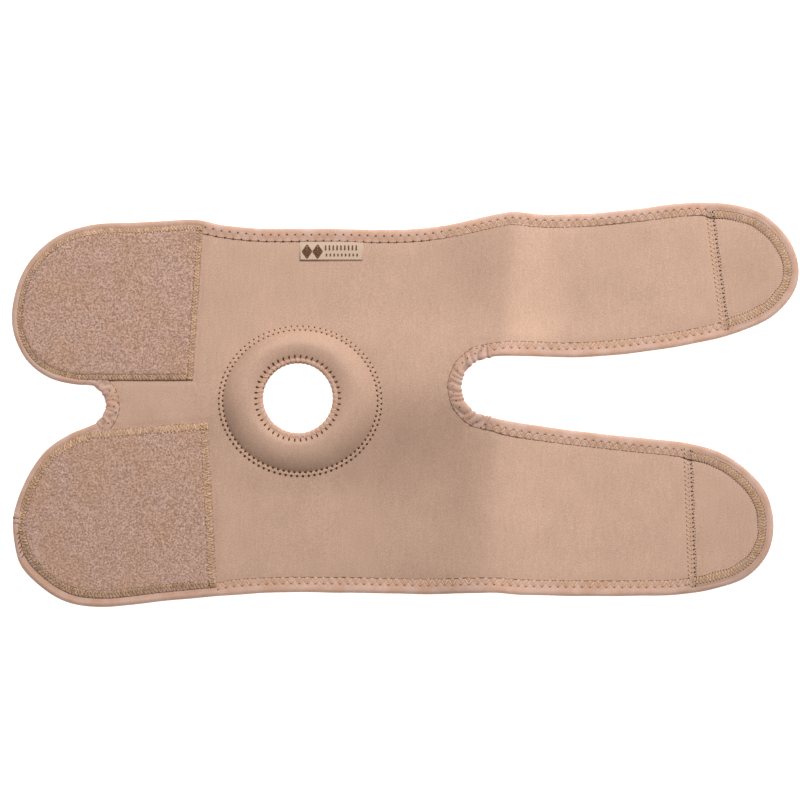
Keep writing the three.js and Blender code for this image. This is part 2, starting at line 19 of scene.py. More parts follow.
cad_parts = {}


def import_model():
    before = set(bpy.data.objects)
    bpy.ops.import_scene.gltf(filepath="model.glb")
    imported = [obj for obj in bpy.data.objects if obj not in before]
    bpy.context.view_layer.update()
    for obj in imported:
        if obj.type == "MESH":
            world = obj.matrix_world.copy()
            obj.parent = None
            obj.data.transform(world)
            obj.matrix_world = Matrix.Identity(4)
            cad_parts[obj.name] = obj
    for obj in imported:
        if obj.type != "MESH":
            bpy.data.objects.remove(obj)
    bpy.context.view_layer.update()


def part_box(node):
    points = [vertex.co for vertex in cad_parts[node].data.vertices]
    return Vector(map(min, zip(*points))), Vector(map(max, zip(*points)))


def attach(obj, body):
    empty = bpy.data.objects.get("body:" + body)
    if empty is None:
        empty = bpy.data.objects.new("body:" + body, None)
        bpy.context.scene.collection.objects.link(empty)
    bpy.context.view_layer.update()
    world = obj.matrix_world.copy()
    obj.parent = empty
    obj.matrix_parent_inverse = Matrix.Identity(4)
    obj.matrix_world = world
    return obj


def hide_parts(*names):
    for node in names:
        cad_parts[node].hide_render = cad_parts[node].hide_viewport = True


LOG = logging.getLogger("knee_brace")
MM = 0.001
Array = np.ndarray


# Small formulas
def smooth_step(value: Array, low: float, high: float) -> Array:
    """0 below low, 1 above high, and 3t^2 - 2t^3 between them."""
    t = np.clip((value - low) / (high - low), 0.0, 1.0)
    return t * t * (3.0 - 2.0 * t)


def bell(value: Array, width: float) -> Array:
    """exp(-(value / width)^2)."""
    return np.exp(-((value / width) ** 2))


def unit(vectors: Array) -> Array:
    """Vectors divided by their lengths."""
    return vectors / np.maximum(np.linalg.norm(vectors, axis=-1, keepdims=True), 1e-9)


def linear(colour: tuple[int, int, int]) -> tuple[float, float, float]:
    """Linear light of an 8-bit screen colour."""
    share = np.array(colour, float) / 255.0
    low, high = share / 12.92, ((share + 0.055) / 1.055) ** 2.4
    return tuple(float(x) for x in np.where(share <= 0.04045, low, high))


@dataclass(frozen=True)
class Lumps:
    """Smooth seeded unevenness: random numbers on a square lattice, blended with smooth steps."""

    size: float
    seed: int
    cells: int = 256

    def at(self, x: Array, y: Array) -> Array:
        """Unevenness from -1 to 1 at each place.

        Args:
            x: Places along the brace, mm.
            y: Places across it, mm.

        Returns:
            One number for each place.
        """
        lattice = np.random.default_rng(self.seed).uniform(-1, 1, (self.cells, self.cells))
        u, v = x / self.size, y / self.size
        i, j = np.floor(u).astype(int), np.floor(v).astype(int)
        a, b = smooth_step(u - i, 0, 1), smooth_step(v - j, 0, 1)
        i0, i1, j0, j1 = i % self.cells, (i + 1) % self.cells, j % self.cells, (j + 1) % self.cells
        low = lattice[i0, j0] * (1 - a) + lattice[i1, j0] * a
        high = lattice[i0, j1] * (1 - a) + lattice[i1, j1] * a
        return low * (1 - b) + high * b


# Lines
@dataclass
class Loop:
    """A closed line, clockwise from above, sampled evenly, with its outward normals."""

    points: Array
    normals: Array
    length: float

    @staticmethod
    def through(line: Array, spacing: float) -> "Loop":
        """Even samples of a closed polyline; the normal is the chord turned a quarter left.

        Args:
            line: Corners, (n, 2).
            spacing: Distance between samples.

        Returns:
            The sampled loop.
        """
        closed = np.vstack([line, line[:1]])
        run = np.concatenate([[0.0], np.cumsum(np.linalg.norm(np.diff(closed, axis=0), axis=1))])
        count = int(round(run[-1] / spacing))
        at = np.arange(count) * run[-1] / count
        points = np.stack([np.interp(at, run, closed[:, k]) for k in (0, 1)], axis=1)
        chord = unit(np.roll(points, -1, axis=0) - np.roll(points, 1, axis=0))
        return Loop(points, np.stack([-chord[:, 1], chord[:, 0]], axis=1), float(run[-1]))

    def at(self, s: Array, inset: Array | float = 0.0) -> Array:
        """Places at arc length s, moved inwards along the blended normal by inset.

        Args:
            s: Arc lengths.
            inset: Distance inwards, broadcast against s.

        Returns:
            Places, (..., 2).
        """
        count = len(self.points)
        share = np.mod(s, self.length) / self.length * count
        i = np.floor(share).astype(int) % count
        f = (share - np.floor(share))[..., None]
        j = (i + 1) % count
        place = self.points[i] * (1 - f) + self.points[j] * f
        normal = unit(self.normals[i] * (1 - f) + self.normals[j] * f)
        return place - np.asarray(inset)[..., None] * normal

    def arc_of(self, places: Array) -> Array:
        """Arc length of the sample nearest to each place."""
        return self._nearest(places) * self.length / len(self.points)

    def depth(self, places: Array) -> Array:
        """Distance inwards from the loop: the offset from the nearest sample, along its normal."""
        i = self._nearest(places)
        return -np.sum((places - self.points[i]) * self.normals[i], axis=1)

    def _nearest(self, places: Array) -> Array:
        """Index of the nearest sample to each place."""
        parts = np.array_split(places, max(1, len(places) // 800))
        found = [np.argmin(((p[:, None, :] - self.points[None]) ** 2).sum(2), axis=1) for p in parts]
        return np.concatenate(found)


def catmull_rom(knots: Array, per_span: int) -> Array:
    """A closed centripetal Catmull-Rom curve.

    On each span it is a cubic whose end slopes weigh the three chords round it by the roots of their lengths.

    Args:
        knots: Places passed through, (n, 2).
        per_span: Samples on each span.

    Returns:
        Samples, (n * per_span, 2).
    """
    p0, p1, p2, p3 = (np.roll(knots, k, axis=0) for k in (1, 0, -1, -2))
    d0, d1, d2 = (np.sqrt(np.linalg.norm(b - a, axis=1))[:, None] for a, b in ((p0, p1), (p1, p2), (p2, p3)))
    m1 = ((p1 - p0) / d0 - (p2 - p0) / (d0 + d1) + (p2 - p1) / d1) * d1
    m2 = ((p2 - p1) / d1 - (p3 - p1) / (d1 + d2) + (p3 - p2) / d2) * d1
    w = np.linspace(0, 1, per_span, endpoint=False)[None, :, None]
    c2, c3 = -3 * p1 + 3 * p2 - 2 * m1 - m2, 2 * p1 - 2 * p2 + m1 + m2
    curve = p1[:, None] + m1[:, None] * w + c2[:, None] * w**2 + c3[:, None] * w**3
    return curve.reshape(-1, 2)


def cut(line: Array, corner: tuple[float, float], outward: tuple[float, float]) -> Array:
    """The part of a closed polyline on the inner side of a straight cut.

    Args:
        line: Corners, (n, 2).
        corner: A place on the cut.
        outward: Direction across the cut, towards what is dropped.

    Returns:
        Corners of what is left.
    """
    side = (line - np.array(corner)) @ np.array(outward)
    after, side_after = np.roll(line, -1, axis=0), np.roll(side, -1)
    crossing = (side > 0) != (side_after > 0)
    share = np.where(crossing, side / np.where(crossing, side - side_after, 1.0), 0.0)[:, None]
    pairs = np.stack([line, line + share * (after - line)], axis=1)
    kept = np.stack([side <= 0, crossing], axis=1)
    return pairs[kept]


# Sizes
@dataclass(frozen=True)
class BraceSizes:
    """Driving sizes, the same as the CAD part's, in millimetres."""

    hole_radius: float = 23.8
    rim_width: float = 4.8
    ring_length: float = 112.3
    ring_width: float = 103.5
    ring_shift: tuple[float, float] = (1.5, -2.0)
    thigh_y: float = 115.4
    calf_y: float = -132.1
    upper_wing_root: float = -64.4
    lower_wing_root: float = -54.9
    upper_wing: float = 131.0
    lower_wing: float = 141.0
    upper_strap: float = 209.8
    lower_strap: float = 192.5
    slot: tuple[float, float] = (131.2, 7.5)
    slot_radius: float = 20.5
    notch: tuple[float, float] = (-144.6, -4.8)
    notch_radius: float = 14.1
    notch_top_deg: float = 64.0
    notch_foot_deg: float = -58.0
    panel: float = 4.2
    tape_width: float = 8.8
    pad_inset: float = 3.4
    lower_pad_extra: float = 2.8
    upper_pad_slant: float = 0.068
    lower_pad_slant: float = -0.053
    upper_pad_margin: float = 3.0
    lower_pad_margin: float = 3.5
    lower_pad_rise: float = 7.0
    tab_inset: float = 5.5
    upper_tab: float = 62.0
    lower_tab: float = 57.7
    upper_tab_slant: float = -0.13
    lower_tab_slant: float = -0.035
    label: tuple[float, float] = (42.8, 13.0)
    label_start: float = 1.2

    def on_notch(self, degrees: float) -> Array:
        """A place on the notch's round end."""
        turn = math.radians(degrees)
        return np.array(self.notch) + self.notch_radius * np.array([math.cos(turn), math.sin(turn)])

    def upper_pad_seam(self, y: Array | float) -> Array | float:
        """X of the upper pad's seam at y."""
        return self.upper_wing_root + self.upper_pad_slant * (y - self.thigh_y)

    def lower_pad_seam(self, y: Array | float) -> Array | float:
        """X of the lower pad's seam at y."""
        return self.lower_wing_root + self.lower_pad_slant * (y - self.calf_y)

    def upper_tab_seam(self, y: Array | float) -> Array | float:
        """X of the seam across the upper strap at y."""
        return self.slot[0] + self.upper_strap - self.upper_tab + self.upper_tab_slant * (y - self.thigh_y)

    def lower_tab_seam(self, y: Array | float) -> Array | float:
        """X of the seam across the lower strap at y."""
        return self.slot[0] + self.lower_strap - self.lower_tab + self.lower_tab_slant * (y - self.calf_y)

    def beyond_tab_seam(self, places: Array) -> Array:
        """How far each place lies beyond its strap's seam, towards the tip."""
        x, y = places[..., 0], places[..., 1]
        return np.where(y > self.slot[1], x - self.upper_tab_seam(y), x - self.lower_tab_seam(y))

    def within_pad(self, places: Array) -> Array:
        """How far each place lies within the cut lines of its wing's pad."""
        x, y = places[..., 0], places[..., 1]
        upper = np.minimum(self.upper_pad_seam(y) - x, y - self.upper_pad_foot)
        from_notch = (x - self.notch[0]) / (self.lower_wing_root - self.notch[0])
        rise = self.lower_pad_rise * np.clip(from_notch, 0, 1)
        lower = np.minimum(self.lower_pad_seam(y) - x, self.lower_pad_top + rise - y)
        return np.where(y > self.notch[1], upper, lower)

    @property
    def upper_pad_foot(self) -> float:
        """Y of the upper pad's side that faces the notch."""
        return self.notch[1] + self.notch_radius + self.upper_pad_margin

    @property
    def lower_pad_top(self) -> float:
        """Y of the lower pad's side that faces the notch, at the notch."""
        return self.notch[1] - self.notch_radius - self.lower_pad_margin


def outline_of(size: BraceSizes) -> Loop:
    """The cut outline: one closed curve through the knots of each stretch, given as shares of its size.

    Args:
        size: The brace's sizes.

    Returns:
        The outline, sampled every half millimetre.
    """
    top, foot = size.on_notch(size.notch_top_deg), size.on_notch(size.notch_foot_deg)
    slot_top, slot_foot = size.slot[1] + size.slot_radius, size.slot[1] - size.slot_radius
    wing_end = size.upper_wing_root - size.upper_wing
    low_end = size.lower_wing_root - size.lower_wing

    def knots(table: list[tuple[float, float]], from_x: float, to_x: float, from_y: float,
              to_y: float) -> Array:
        """Knots at the shares (along x, along y) between two corners."""
        rows = np.array(table)
        x = from_x + rows[:, 0] * (to_x - from_x)
        y = from_y + rows[:, 1] * (to_y - from_y)
        return np.stack([x, y], axis=1)

    def arc(centre: tuple[float, float], radius: float, start: float, end: float, count: int) -> Array:
        """Knots on an arc from one angle to another."""
        turn = np.radians(np.linspace(start, end, count))
        return np.array(centre) + radius * np.stack([np.cos(turn), np.sin(turn)], axis=1)

    beside_notch_top = [(0.239, 0.013), (0.562, 0.06), (0.801, 0.158)]
    upper_wing = [(0.982, 0.31), (0.997, 0.449), (0.961, 0.665), (0.873, 0.842), (0.748, 0.962),
                  (0.592, 1.025), (0.28, 1.044), (0.036, 1.057)]
    thigh_edge = [(0.073, 1.023), (0.202, 1.002), (0.439, 1.003), (0.648, 0.994), (0.805, 1.012),
                  (0.927, 1.05)]
    upper_strap = [(0.005, 1.104), (0.062, 1.125), (0.159, 1.109), (0.321, 1.121), (0.484, 1.16),
                   (0.646, 1.202), (0.792, 1.187), (0.89, 1.101), (0.971, 0.899), (1.0, 0.689),
                   (0.987, 0.525), (0.925, 0.339), (0.808, 0.198), (0.646, 0.097), (0.451, 0.027),
                   (0.256, -0.004), (0.11, 0.004)]
    lower_strap = [(0.102, 0.031), (0.279, 0.071), (0.491, 0.11), (0.703, 0.15), (0.809, 0.198),
                   (0.908, 0.303), (0.975, 0.439), (1.0, 0.609), (0.98, 0.779), (0.9, 0.915),
                   (0.781, 0.983), (0.668, 1.014), (0.456, 1.023), (0.102, 1.014)]
    calf_edge = [(0.0, 1.0), (0.26, 1.01), (0.553, 1.003), (0.773, 1.003), (0.974, 1.018)]
    lower_wing = [(0.256, 1.053), (0.546, 1.089), (0.715, 1.064), (0.85, 0.971), (0.951, 0.842),
                  (0.984, 0.696), (0.985, 0.55)]
    beside_notch_foot = [(0.848, 0.363), (0.617, 0.175), (0.325, 0.07), (0.079, 0.018)]
    slot_x = size.slot[0]
    places = np.vstack([
        knots(beside_notch_top, top[0], wing_end, top[1], size.thigh_y),
        knots(upper_wing, size.upper_wing_root, wing_end, top[1], size.thigh_y),
        knots(thigh_edge, size.upper_wing_root, slot_x, 0.0, size.thigh_y),
        knots(upper_strap, slot_x, slot_x + size.upper_strap, slot_top, size.thigh_y),
        arc(size.slot, size.slot_radius, 90, 270, 7),
        knots(lower_strap, slot_x, slot_x + size.lower_strap, slot_foot, size.calf_y),
        knots(calf_edge, slot_x, size.lower_wing_root, 0.0, size.calf_y),
        knots(lower_wing, size.lower_wing_root, low_end, foot[1], size.calf_y),
        knots(beside_notch_foot, foot[0], low_end, foot[1], size.calf_y),
        arc(size.notch, size.notch_radius, size.notch_foot_deg, size.notch_top_deg, 6),
    ])
    return Loop.through(catmull_rom(places, 60), 0.5)


@dataclass(frozen=True)
class Lie:
    """How the brace lies: flat, but for the packing fold across both straps and the tabs under their tips."""

    size: BraceSizes
    fold_x: float = 137.6
    lean: float = 0.08
    height: float = 13.0
    fade: float = 0.35
    reach_body: float = 78.0
    reach_strap: float = 54.0
    crest_round: float = 3.0
    middle_round: float = 16.0
    seat_ramp: float = 15.0
    seat_height: float = 1.5
    spine: float = 4.5
    spine_y: float = 10.0
    spine_width: float = 32.0

    @property
    def seat_start(self) -> float:
        """Where the straps have risen onto the tabs: the slot end of the lower strap's seam."""
        y = self.size.slot[1] - self.size.slot_radius
        return self.size.lower_tab_seam(y) - self.lean * y

    def from_crest(self, x: Array, y: Array) -> Array:
        """Distance past the fold's crest, towards the strap tips."""
        return x - self.lean * y - self.fold_x

    def at(self, x: Array, y: Array) -> Array:
        """Height of the underside: the fold, the spine and the ramp up onto the tabs.

        The fold is two parabolas that meet in a rounded crest, highest beside the slot and lower towards both
        long edges. The spine is a soft bell from the ring to the slot.

        Args:
            x: Places along the brace.
            y: Places across it.

        Returns:
            Heights above the surface that it lies on.
        """
        away = self.from_crest(x, y)
        reach = np.where(away < 0, self.reach_body, self.reach_strap)
        rounded = np.sqrt(away**2 + self.crest_round**2) - self.crest_round
        rise = np.clip(1 - rounded / reach, 0, 1) ** 2
        across = y - self.size.slot[1]
        to_thigh, to_calf = self.size.thigh_y - self.size.slot[1], self.size.slot[1] - self.size.calf_y
        half = np.where(across > 0, to_thigh, to_calf)
        to_edge = (np.sqrt(across**2 + self.middle_round**2) - self.middle_round) / half
        seat = np.clip((away + self.fold_x - self.seat_start + self.seat_ramp) / self.seat_ramp, 0, 1)
        fold = self.height * (1 - self.fade * to_edge) * rise
        spine = self.spine * bell(y - self.spine_y, self.spine_width)
        spine = spine * smooth_step(x, 34, 84) * (1 - smooth_step(away, -6, 30))
        return fold + spine + self.seat_height * seat


# Meshes
@dataclass
class Shape:
    """Vertices, faces and a tone for each vertex, gathered from several surfaces."""

    points: list[Array] = field(default_factory=list)
    faces: list[list] = field(default_factory=list)
    tones: list[Array] = field(default_factory=list)
    count: int = 0

    def add(self, points: Array, faces: list[Array], tone: Array | float = 1.0) -> "Shape":
        """Adds a surface.

        Args:
            points: Vertices, (n, 3).
            faces: Arrays of vertex numbers, each (m, corners).
            tone: Brightness of the finish, for all or for each vertex.

        Returns:
            The shape itself.
        """
        self.points.append(points)
        self.tones.append(np.broadcast_to(np.asarray(tone, float), (len(points),)))
        for group in faces:
            self.faces.extend((np.asarray(group) + self.count).tolist())
        self.count += len(points)
        return self


def loft(rings: Array, closed: bool) -> tuple[Array, list[Array]]:
    """Joins rings (stations, places round the section, 3) with quads, in a loop or with capped ends.

    Args:
        rings: Section places; round the section they run clockwise about the direction of travel.
        closed: True if the last station joins the first.

    Returns:
        Vertices and face arrays.
    """
    stations, round_section = rings.shape[:2]
    index = np.arange(stations * round_section).reshape(stations, round_section)
    ahead = np.roll(index, -1, axis=0) if closed else index[1:]
    here = index if closed else index[:-1]
    quads = np.stack([here, ahead, np.roll(ahead, -1, axis=1), np.roll(here, -1, axis=1)], axis=-1)
    quads = quads.reshape(-1, 4)
    faces = [quads] if closed else [quads, index[:1], index[-1:, ::-1]]
    return rings.reshape(-1, 3), faces


def tubes(paths: Array, radius: Array | float, sides: int = 5) -> tuple[Array, list[Array]]:
    """Round threads: place + radius * (side * cos + up * sin), with side square to the path and level.

    Args:
        paths: Threads, (threads, places, 3).
        radius: Thread radius, for all or for each place.
        sides: Corners of the section.

    Returns:
        Vertices and face arrays.
    """
    threads, places = paths.shape[:2]
    ahead = unit(np.gradient(paths, axis=1))
    side = unit(np.cross(ahead, [0.0, 0.0, 1.0]))
    up = np.cross(side, ahead)
    turn = 2 * np.pi * np.arange(sides) / sides
    ring = side[:, :, None] * np.cos(turn)[:, None] + up[:, :, None] * np.sin(turn)[:, None]
    width = np.broadcast_to(np.asarray(radius, float), (threads, places))[:, :, None, None]
    points = paths[:, :, None] + width * ring
    index = np.arange(threads * places * sides).reshape(threads, places, sides)
    here, after = index[:, :-1], index[:, 1:]
    quads = np.stack([here, after, np.roll(after, -1, axis=2), np.roll(here, -1, axis=2)], axis=-1)
    return points.reshape(-1, 3), [quads.reshape(-1, 4), index[:, 0], index[:, -1, ::-1]]


def beads(centres: Array, radius: Array | float, height: float, sides: int = 6) -> tuple[Array, list[Array]]:
    """Small lens-shaped knots: a level ring of corners with a point above and one below.

    Args:
        centres: Middles, (n, 3).
        radius: Radius of the ring, for all or for each knot.
        height: Height of the points.
        sides: Corners of the ring.

    Returns:
        Vertices and face arrays.
    """
    turn = 2 * np.pi * np.arange(sides) / sides
    ring = np.stack([np.cos(turn), np.sin(turn), np.zeros(sides)], axis=1)
    offsets = np.vstack([ring, [[0, 0, height], [0, 0, -height]]])
    width = np.broadcast_to(np.asarray(radius, float), (len(centres),))
    scale = np.stack([width, width, np.ones_like(width)], axis=1)
    points = centres[:, None] + offsets * scale[:, None]
    base = (np.arange(len(centres)) * (sides + 2))[:, None]
    i, j = np.arange(sides), (np.arange(sides) + 1) % sides
    upper = np.stack([base + i, base + j, base + np.full(sides, sides)], axis=-1).reshape(-1, 3)
    lower = np.stack([base + j, base + i, base + np.full(sides, sides + 1)], axis=-1).reshape(-1, 3)
    return points.reshape(-1, 3), [upper, lower]


def filled(border: Array, inner: Array, hole: Array | None = None) -> tuple[Array, Array]:
    """Triangles over a flat region. Those outside the border, whose middles lie beyond it, are dropped.

    Args:
        border: The region's border, clockwise, (n, 2).
        inner: Places inside it, (m, 2).
        hole: Border of a round hole about the middle, or None.

    Returns:
        Places (k, 2) and triangles (t, 3), anticlockwise from above.
    """
    loops = [border] if hole is None else [border, hole]
    edges, start = [], 0
    for loop in loops:
        i = np.arange(len(loop))
        edges.append(np.stack([start + i, start + (i + 1) % len(loop)], axis=1))
        start += len(loop)
    flat = np.vstack([*loops, inner])
    made = delaunay_2d_cdt([Vector(p) for p in flat.tolist()], np.vstack(edges).tolist(), [], 1, 1e-5, False)
    places = np.array([v[:] for v in made[0]])
    triangles = np.array([f for f in made[2] if len(f) == 3])
    middle = places[triangles].mean(axis=1)
    kept = Loop.through(border, 0.5).depth(middle) > 0
    if hole is not None:
        kept &= np.linalg.norm(middle, axis=1) > np.linalg.norm(hole, axis=1).min() * 0.995
    triangles = triangles[kept]
    a, b, c = (places[triangles[:, k]] for k in range(3))
    turned = (b[:, 0] - a[:, 0]) * (c[:, 1] - a[:, 1]) - (b[:, 1] - a[:, 1]) * (c[:, 0] - a[:, 0]) < 0
    triangles[turned] = triangles[turned][:, ::-1]
    return places, triangles


def slab(places: Array, triangles: Array, top: Array, bottom: Array) -> tuple[Array, list[Array]]:
    """A closed slab: the flat triangles at the top heights, again at the bottom ones, and a wall between.

    Args:
        places: Flat places, (n, 2).
        triangles: Faces over them, anticlockwise.
        top: Upper height of each place.
        bottom: Lower height of each place.

    Returns:
        Vertices and face arrays.
    """
    count = len(places)
    edges = np.vstack([triangles[:, [0, 1]], triangles[:, [1, 2]], triangles[:, [2, 0]]])
    key, back = edges[:, 0] * count + edges[:, 1], edges[:, 1] * count + edges[:, 0]
    rim = edges[~np.isin(key, back)]
    wall = np.stack([rim[:, 0] + count, rim[:, 1] + count, rim[:, 1], rim[:, 0]], axis=1)
    points = np.vstack([np.column_stack([places, top]), np.column_stack([places, bottom])])
    return points, [triangles, triangles[:, ::-1] + count, wall]


def scatter(low: Array, high: Array, step: float, seed: int) -> Array:
    """A grid of places with every second row shifted and each place nudged a little.

    Args:
        low: Lowest corner.
        high: Highest corner.
        step: Distance between places.
        seed: Seed of the nudges.

    Returns:
        Places, (n, 2).
    """
    columns, rows = np.arange(low[0], high[0], step), np.arange(low[1], high[1], step * 0.87)
    x, y = np.meshgrid(columns, rows, indexing="ij")
    x = x + 0.5 * step * (np.arange(x.shape[1]) % 2)
    nudge = np.random.default_rng(seed).uniform(-0.12, 0.12, (2, *x.shape)) * step
    return np.stack([x + nudge[0], y + nudge[1]], axis=-1).reshape(-1, 2)


# Finishes
@dataclass(frozen=True)
class Finish:
    """A cloth or thread finish. Shares are how far a pattern lightens or darkens the colour."""

    name: str
    colour: tuple[int, int, int]
    fleck: tuple[int, int, int] | None = None
    fleck_size: float = 2.0
    fleck_share: float = 0.5
    tint: tuple[int, int, int] | None = None
    tint_size: float = 16.0
    roughness: float = 0.92
    sheen: float = 0.12
    grain: float = 0.05
    grain_size: float = 0.7
    rib: float = 0.0
    rib_pitch: float = 1.0
    mottle: float = 0.03
    mottle_size: float = 22.0
    relief: float = 0.12

    def build(self) -> bpy.types.Material:
        """The material: colour * tone * (1 + grain + rib + mottle), with the same grain as relief."""
        material = bpy.data.materials.new(self.name)
        material.use_nodes = True
        tree = material.node_tree
        shader = tree.nodes["Principled BSDF"]
        shader.inputs["Roughness"].default_value = self.roughness
        shader.inputs["Specular IOR Level"].default_value = 0.18
        shader.inputs["Sheen Weight"].default_value = self.sheen
        shader.inputs["Sheen Roughness"].default_value = 0.5
        place = tree.nodes.new("ShaderNodeTexCoord").outputs["Object"]
        grain = self._noise(tree, place, self.grain_size, 2.0, (1, 1, 1))
        factor = self._swing(tree, grain, self.grain)
        if self.rib:
            rib = self._noise(tree, place, self.rib_pitch, 1.0, (1, 0.16, 1))
            factor = self._times(tree, factor, self._swing(tree, rib, self.rib))
        mottle = self._noise(tree, place, self.mottle_size, 1.0, (1, 1, 1))
        factor = self._times(tree, factor, self._swing(tree, mottle, self.mottle))
        tone = tree.nodes.new("ShaderNodeAttribute")
        tone.attribute_name = "tone"
        factor = self._times(tree, factor, tone.outputs["Fac"])
        colour = tree.nodes.new("ShaderNodeRGB").outputs[0]
        colour.default_value = (*linear(self.colour), 1)
        if self.tint is not None:
            patch = self._noise(tree, place, self.tint_size, 1.0, (1, 1, 1))
            colour = self._mixed(tree, colour, self.tint, self._between(tree, patch, 0.38, 0.62, 1.0))
        if self.fleck is not None:
            blotch = self._noise(tree, place, self.fleck_size, 2.0, (1, 1, 1))
            share = self._between(tree, blotch, 0.42, 0.62, self.fleck_share)
            colour = self._mixed(tree, colour, self.fleck, share)
        scaled = tree.nodes.new("ShaderNodeVectorMath")
        scaled.operation = "SCALE"
        tree.links.new(factor, scaled.inputs["Scale"])
        tree.links.new(colour, scaled.inputs[0])
        tree.links.new(scaled.outputs["Vector"], shader.inputs["Base Color"])
        if self.relief:
            bump = tree.nodes.new("ShaderNodeBump")
            bump.inputs["Strength"].default_value = 0.6
            bump.inputs["Distance"].default_value = self.relief * MM
            tree.links.new(grain, bump.inputs["Height"])
            tree.links.new(bump.outputs["Normal"], shader.inputs["Normal"])
        return material

    @staticmethod
    def _noise(tree: bpy.types.NodeTree, place: bpy.types.NodeSocket, size: float, detail: float,
               stretch: tuple[float, float, float]) -> bpy.types.NodeSocket:
        """Noise of a size in millimetres, squeezed along each axis by stretch."""
        mapping = tree.nodes.new("ShaderNodeMapping")
        mapping.inputs["Scale"].default_value = tuple(s / (size * MM) for s in stretch)
        noise = tree.nodes.new("ShaderNodeTexNoise")
        noise.inputs["Scale"].default_value = 1.0
        noise.inputs["Detail"].default_value = detail
        tree.links.new(place, mapping.inputs["Vector"])
        tree.links.new(mapping.outputs["Vector"], noise.inputs["Vector"])
        return noise.outputs["Fac"]

    @staticmethod
    def _mixed(tree: bpy.types.NodeTree, colour: bpy.types.NodeSocket, other: tuple[int, int, int],
               share: bpy.types.NodeSocket) -> bpy.types.NodeSocket:
        """The colour blended towards another one by a share."""
        mix = tree.nodes.new("ShaderNodeMix")
        mix.data_type = "RGBA"
        mix.inputs["B"].default_value = (*linear(other), 1)
        tree.links.new(colour, mix.inputs["A"])
        tree.links.new(share, mix.inputs["Factor"])
        return mix.outputs["Result"]

    @staticmethod
    def _between(tree: bpy.types.NodeTree, value: bpy.types.NodeSocket, low: float, high: float,
                 top: float) -> bpy.types.NodeSocket:
        """The value spread from low..high to 0..top."""
        ramp = tree.nodes.new("ShaderNodeMapRange")
        for name, number in (("From Min", low), ("From Max", high), ("To Min", 0.0), ("To Max", top)):
            ramp.inputs[name].default_value = number
        tree.links.new(value, ramp.inputs["Value"])
        return ramp.outputs["Result"]

    @staticmethod
    def _swing(tree: bpy.types.NodeTree, value: bpy.types.NodeSocket, share: float) -> bpy.types.NodeSocket:
        """1 + 4 * share * (value - 0.5), as noise keeps to the middle of its range."""
        node = tree.nodes.new("ShaderNodeMath")
        node.operation = "MULTIPLY_ADD"
        node.inputs[1].default_value = 4 * share
        node.inputs[2].default_value = 1 - 2 * share
        tree.links.new(value, node.inputs[0])
        return node.outputs["Value"]

    @staticmethod
    def _times(tree: bpy.types.NodeTree, a: bpy.types.NodeSocket,
               b: bpy.types.NodeSocket) -> bpy.types.NodeSocket:
        """a * b."""
        node = tree.nodes.new("ShaderNodeMath")
        node.operation = "MULTIPLY"
        tree.links.new(a, node.inputs[0])
        tree.links.new(b, node.inputs[1])
        return node.outputs["Value"]


class Cloth(Enum):
    """The finishes of the brace's pieces."""

    KNIT = Finish("beige_jersey", (210, 174, 152), rib=0.035, rib_pitch=1.9, grain=0.17, grain_size=0.8,
                  mottle=0.035, sheen=0.06)
    RING_KNIT = Finish("ring_jersey", (210, 174, 152), rib=0.03, rib_pitch=1.9, grain=0.16, grain_size=0.8,
                       sheen=0.06)
    TAPE = Finish("peach_tape", (226, 188, 170), tint=(219, 176, 152), tint_size=9, grain=0.12, relief=0.12,
                  sheen=0.3)
    PILE = Finish("brushed_pile", (222, 186, 170), fleck=(160, 121, 98), fleck_size=1.3, fleck_share=0.72,
                  tint=(216, 178, 156), tint_size=22, grain=0.26, grain_size=0.75, relief=0.3, sheen=0.25)
    FIBRE = Finish("pile_fibre", (226, 190, 170), tint=(214, 174, 142), tint_size=14, grain=0.0, mottle=0.06,
                   mottle_size=6, relief=0, sheen=0.3)
    HOOKS = Finish("hook_field", (198, 160, 134), roughness=0.55, sheen=0.0, grain=0.02, relief=0.05)
    LABEL = Finish("label_ribbon", (216, 190, 168), grain=0.08, grain_size=0.5, relief=0.1)
    LABEL_THREAD = Finish("label_thread", (122, 84, 62), grain=0.05, relief=0)
    PALE_THREAD = Finish("pale_thread", (238, 202, 168), roughness=0.8, grain=0.03, relief=0)
    GOLD_THREAD = Finish("golden_thread", (234, 197, 156), roughness=0.75, grain=0.06, relief=0)
    # Dark brown of thread, and of beads that paint the shade in needle holes.
    DARK_STITCH_AND_HOLE_SHADE = Finish("brown_stitch_and_hole_shade", (98, 60, 38), roughness=0.85, grain=0.05, relief=0)
    # Softer brown of beads that paint shade in needle holes, and of the painted shade dashes at the tape's
    # edge.
    BROWN_STITCH_AND_SHADE = Finish("soft_brown_thread", (134, 92, 66), roughness=0.85, grain=0.08, relief=0)


class Slot(Enum):
    """The record's material slots."""

    NEOPRENE = "neoprene"
    TAPE = "edge_tape"
    PILE = "loop_pile"
    HOOKS = "hook_tape"
    LABEL = "label_cloth"
    THREAD = "thread"


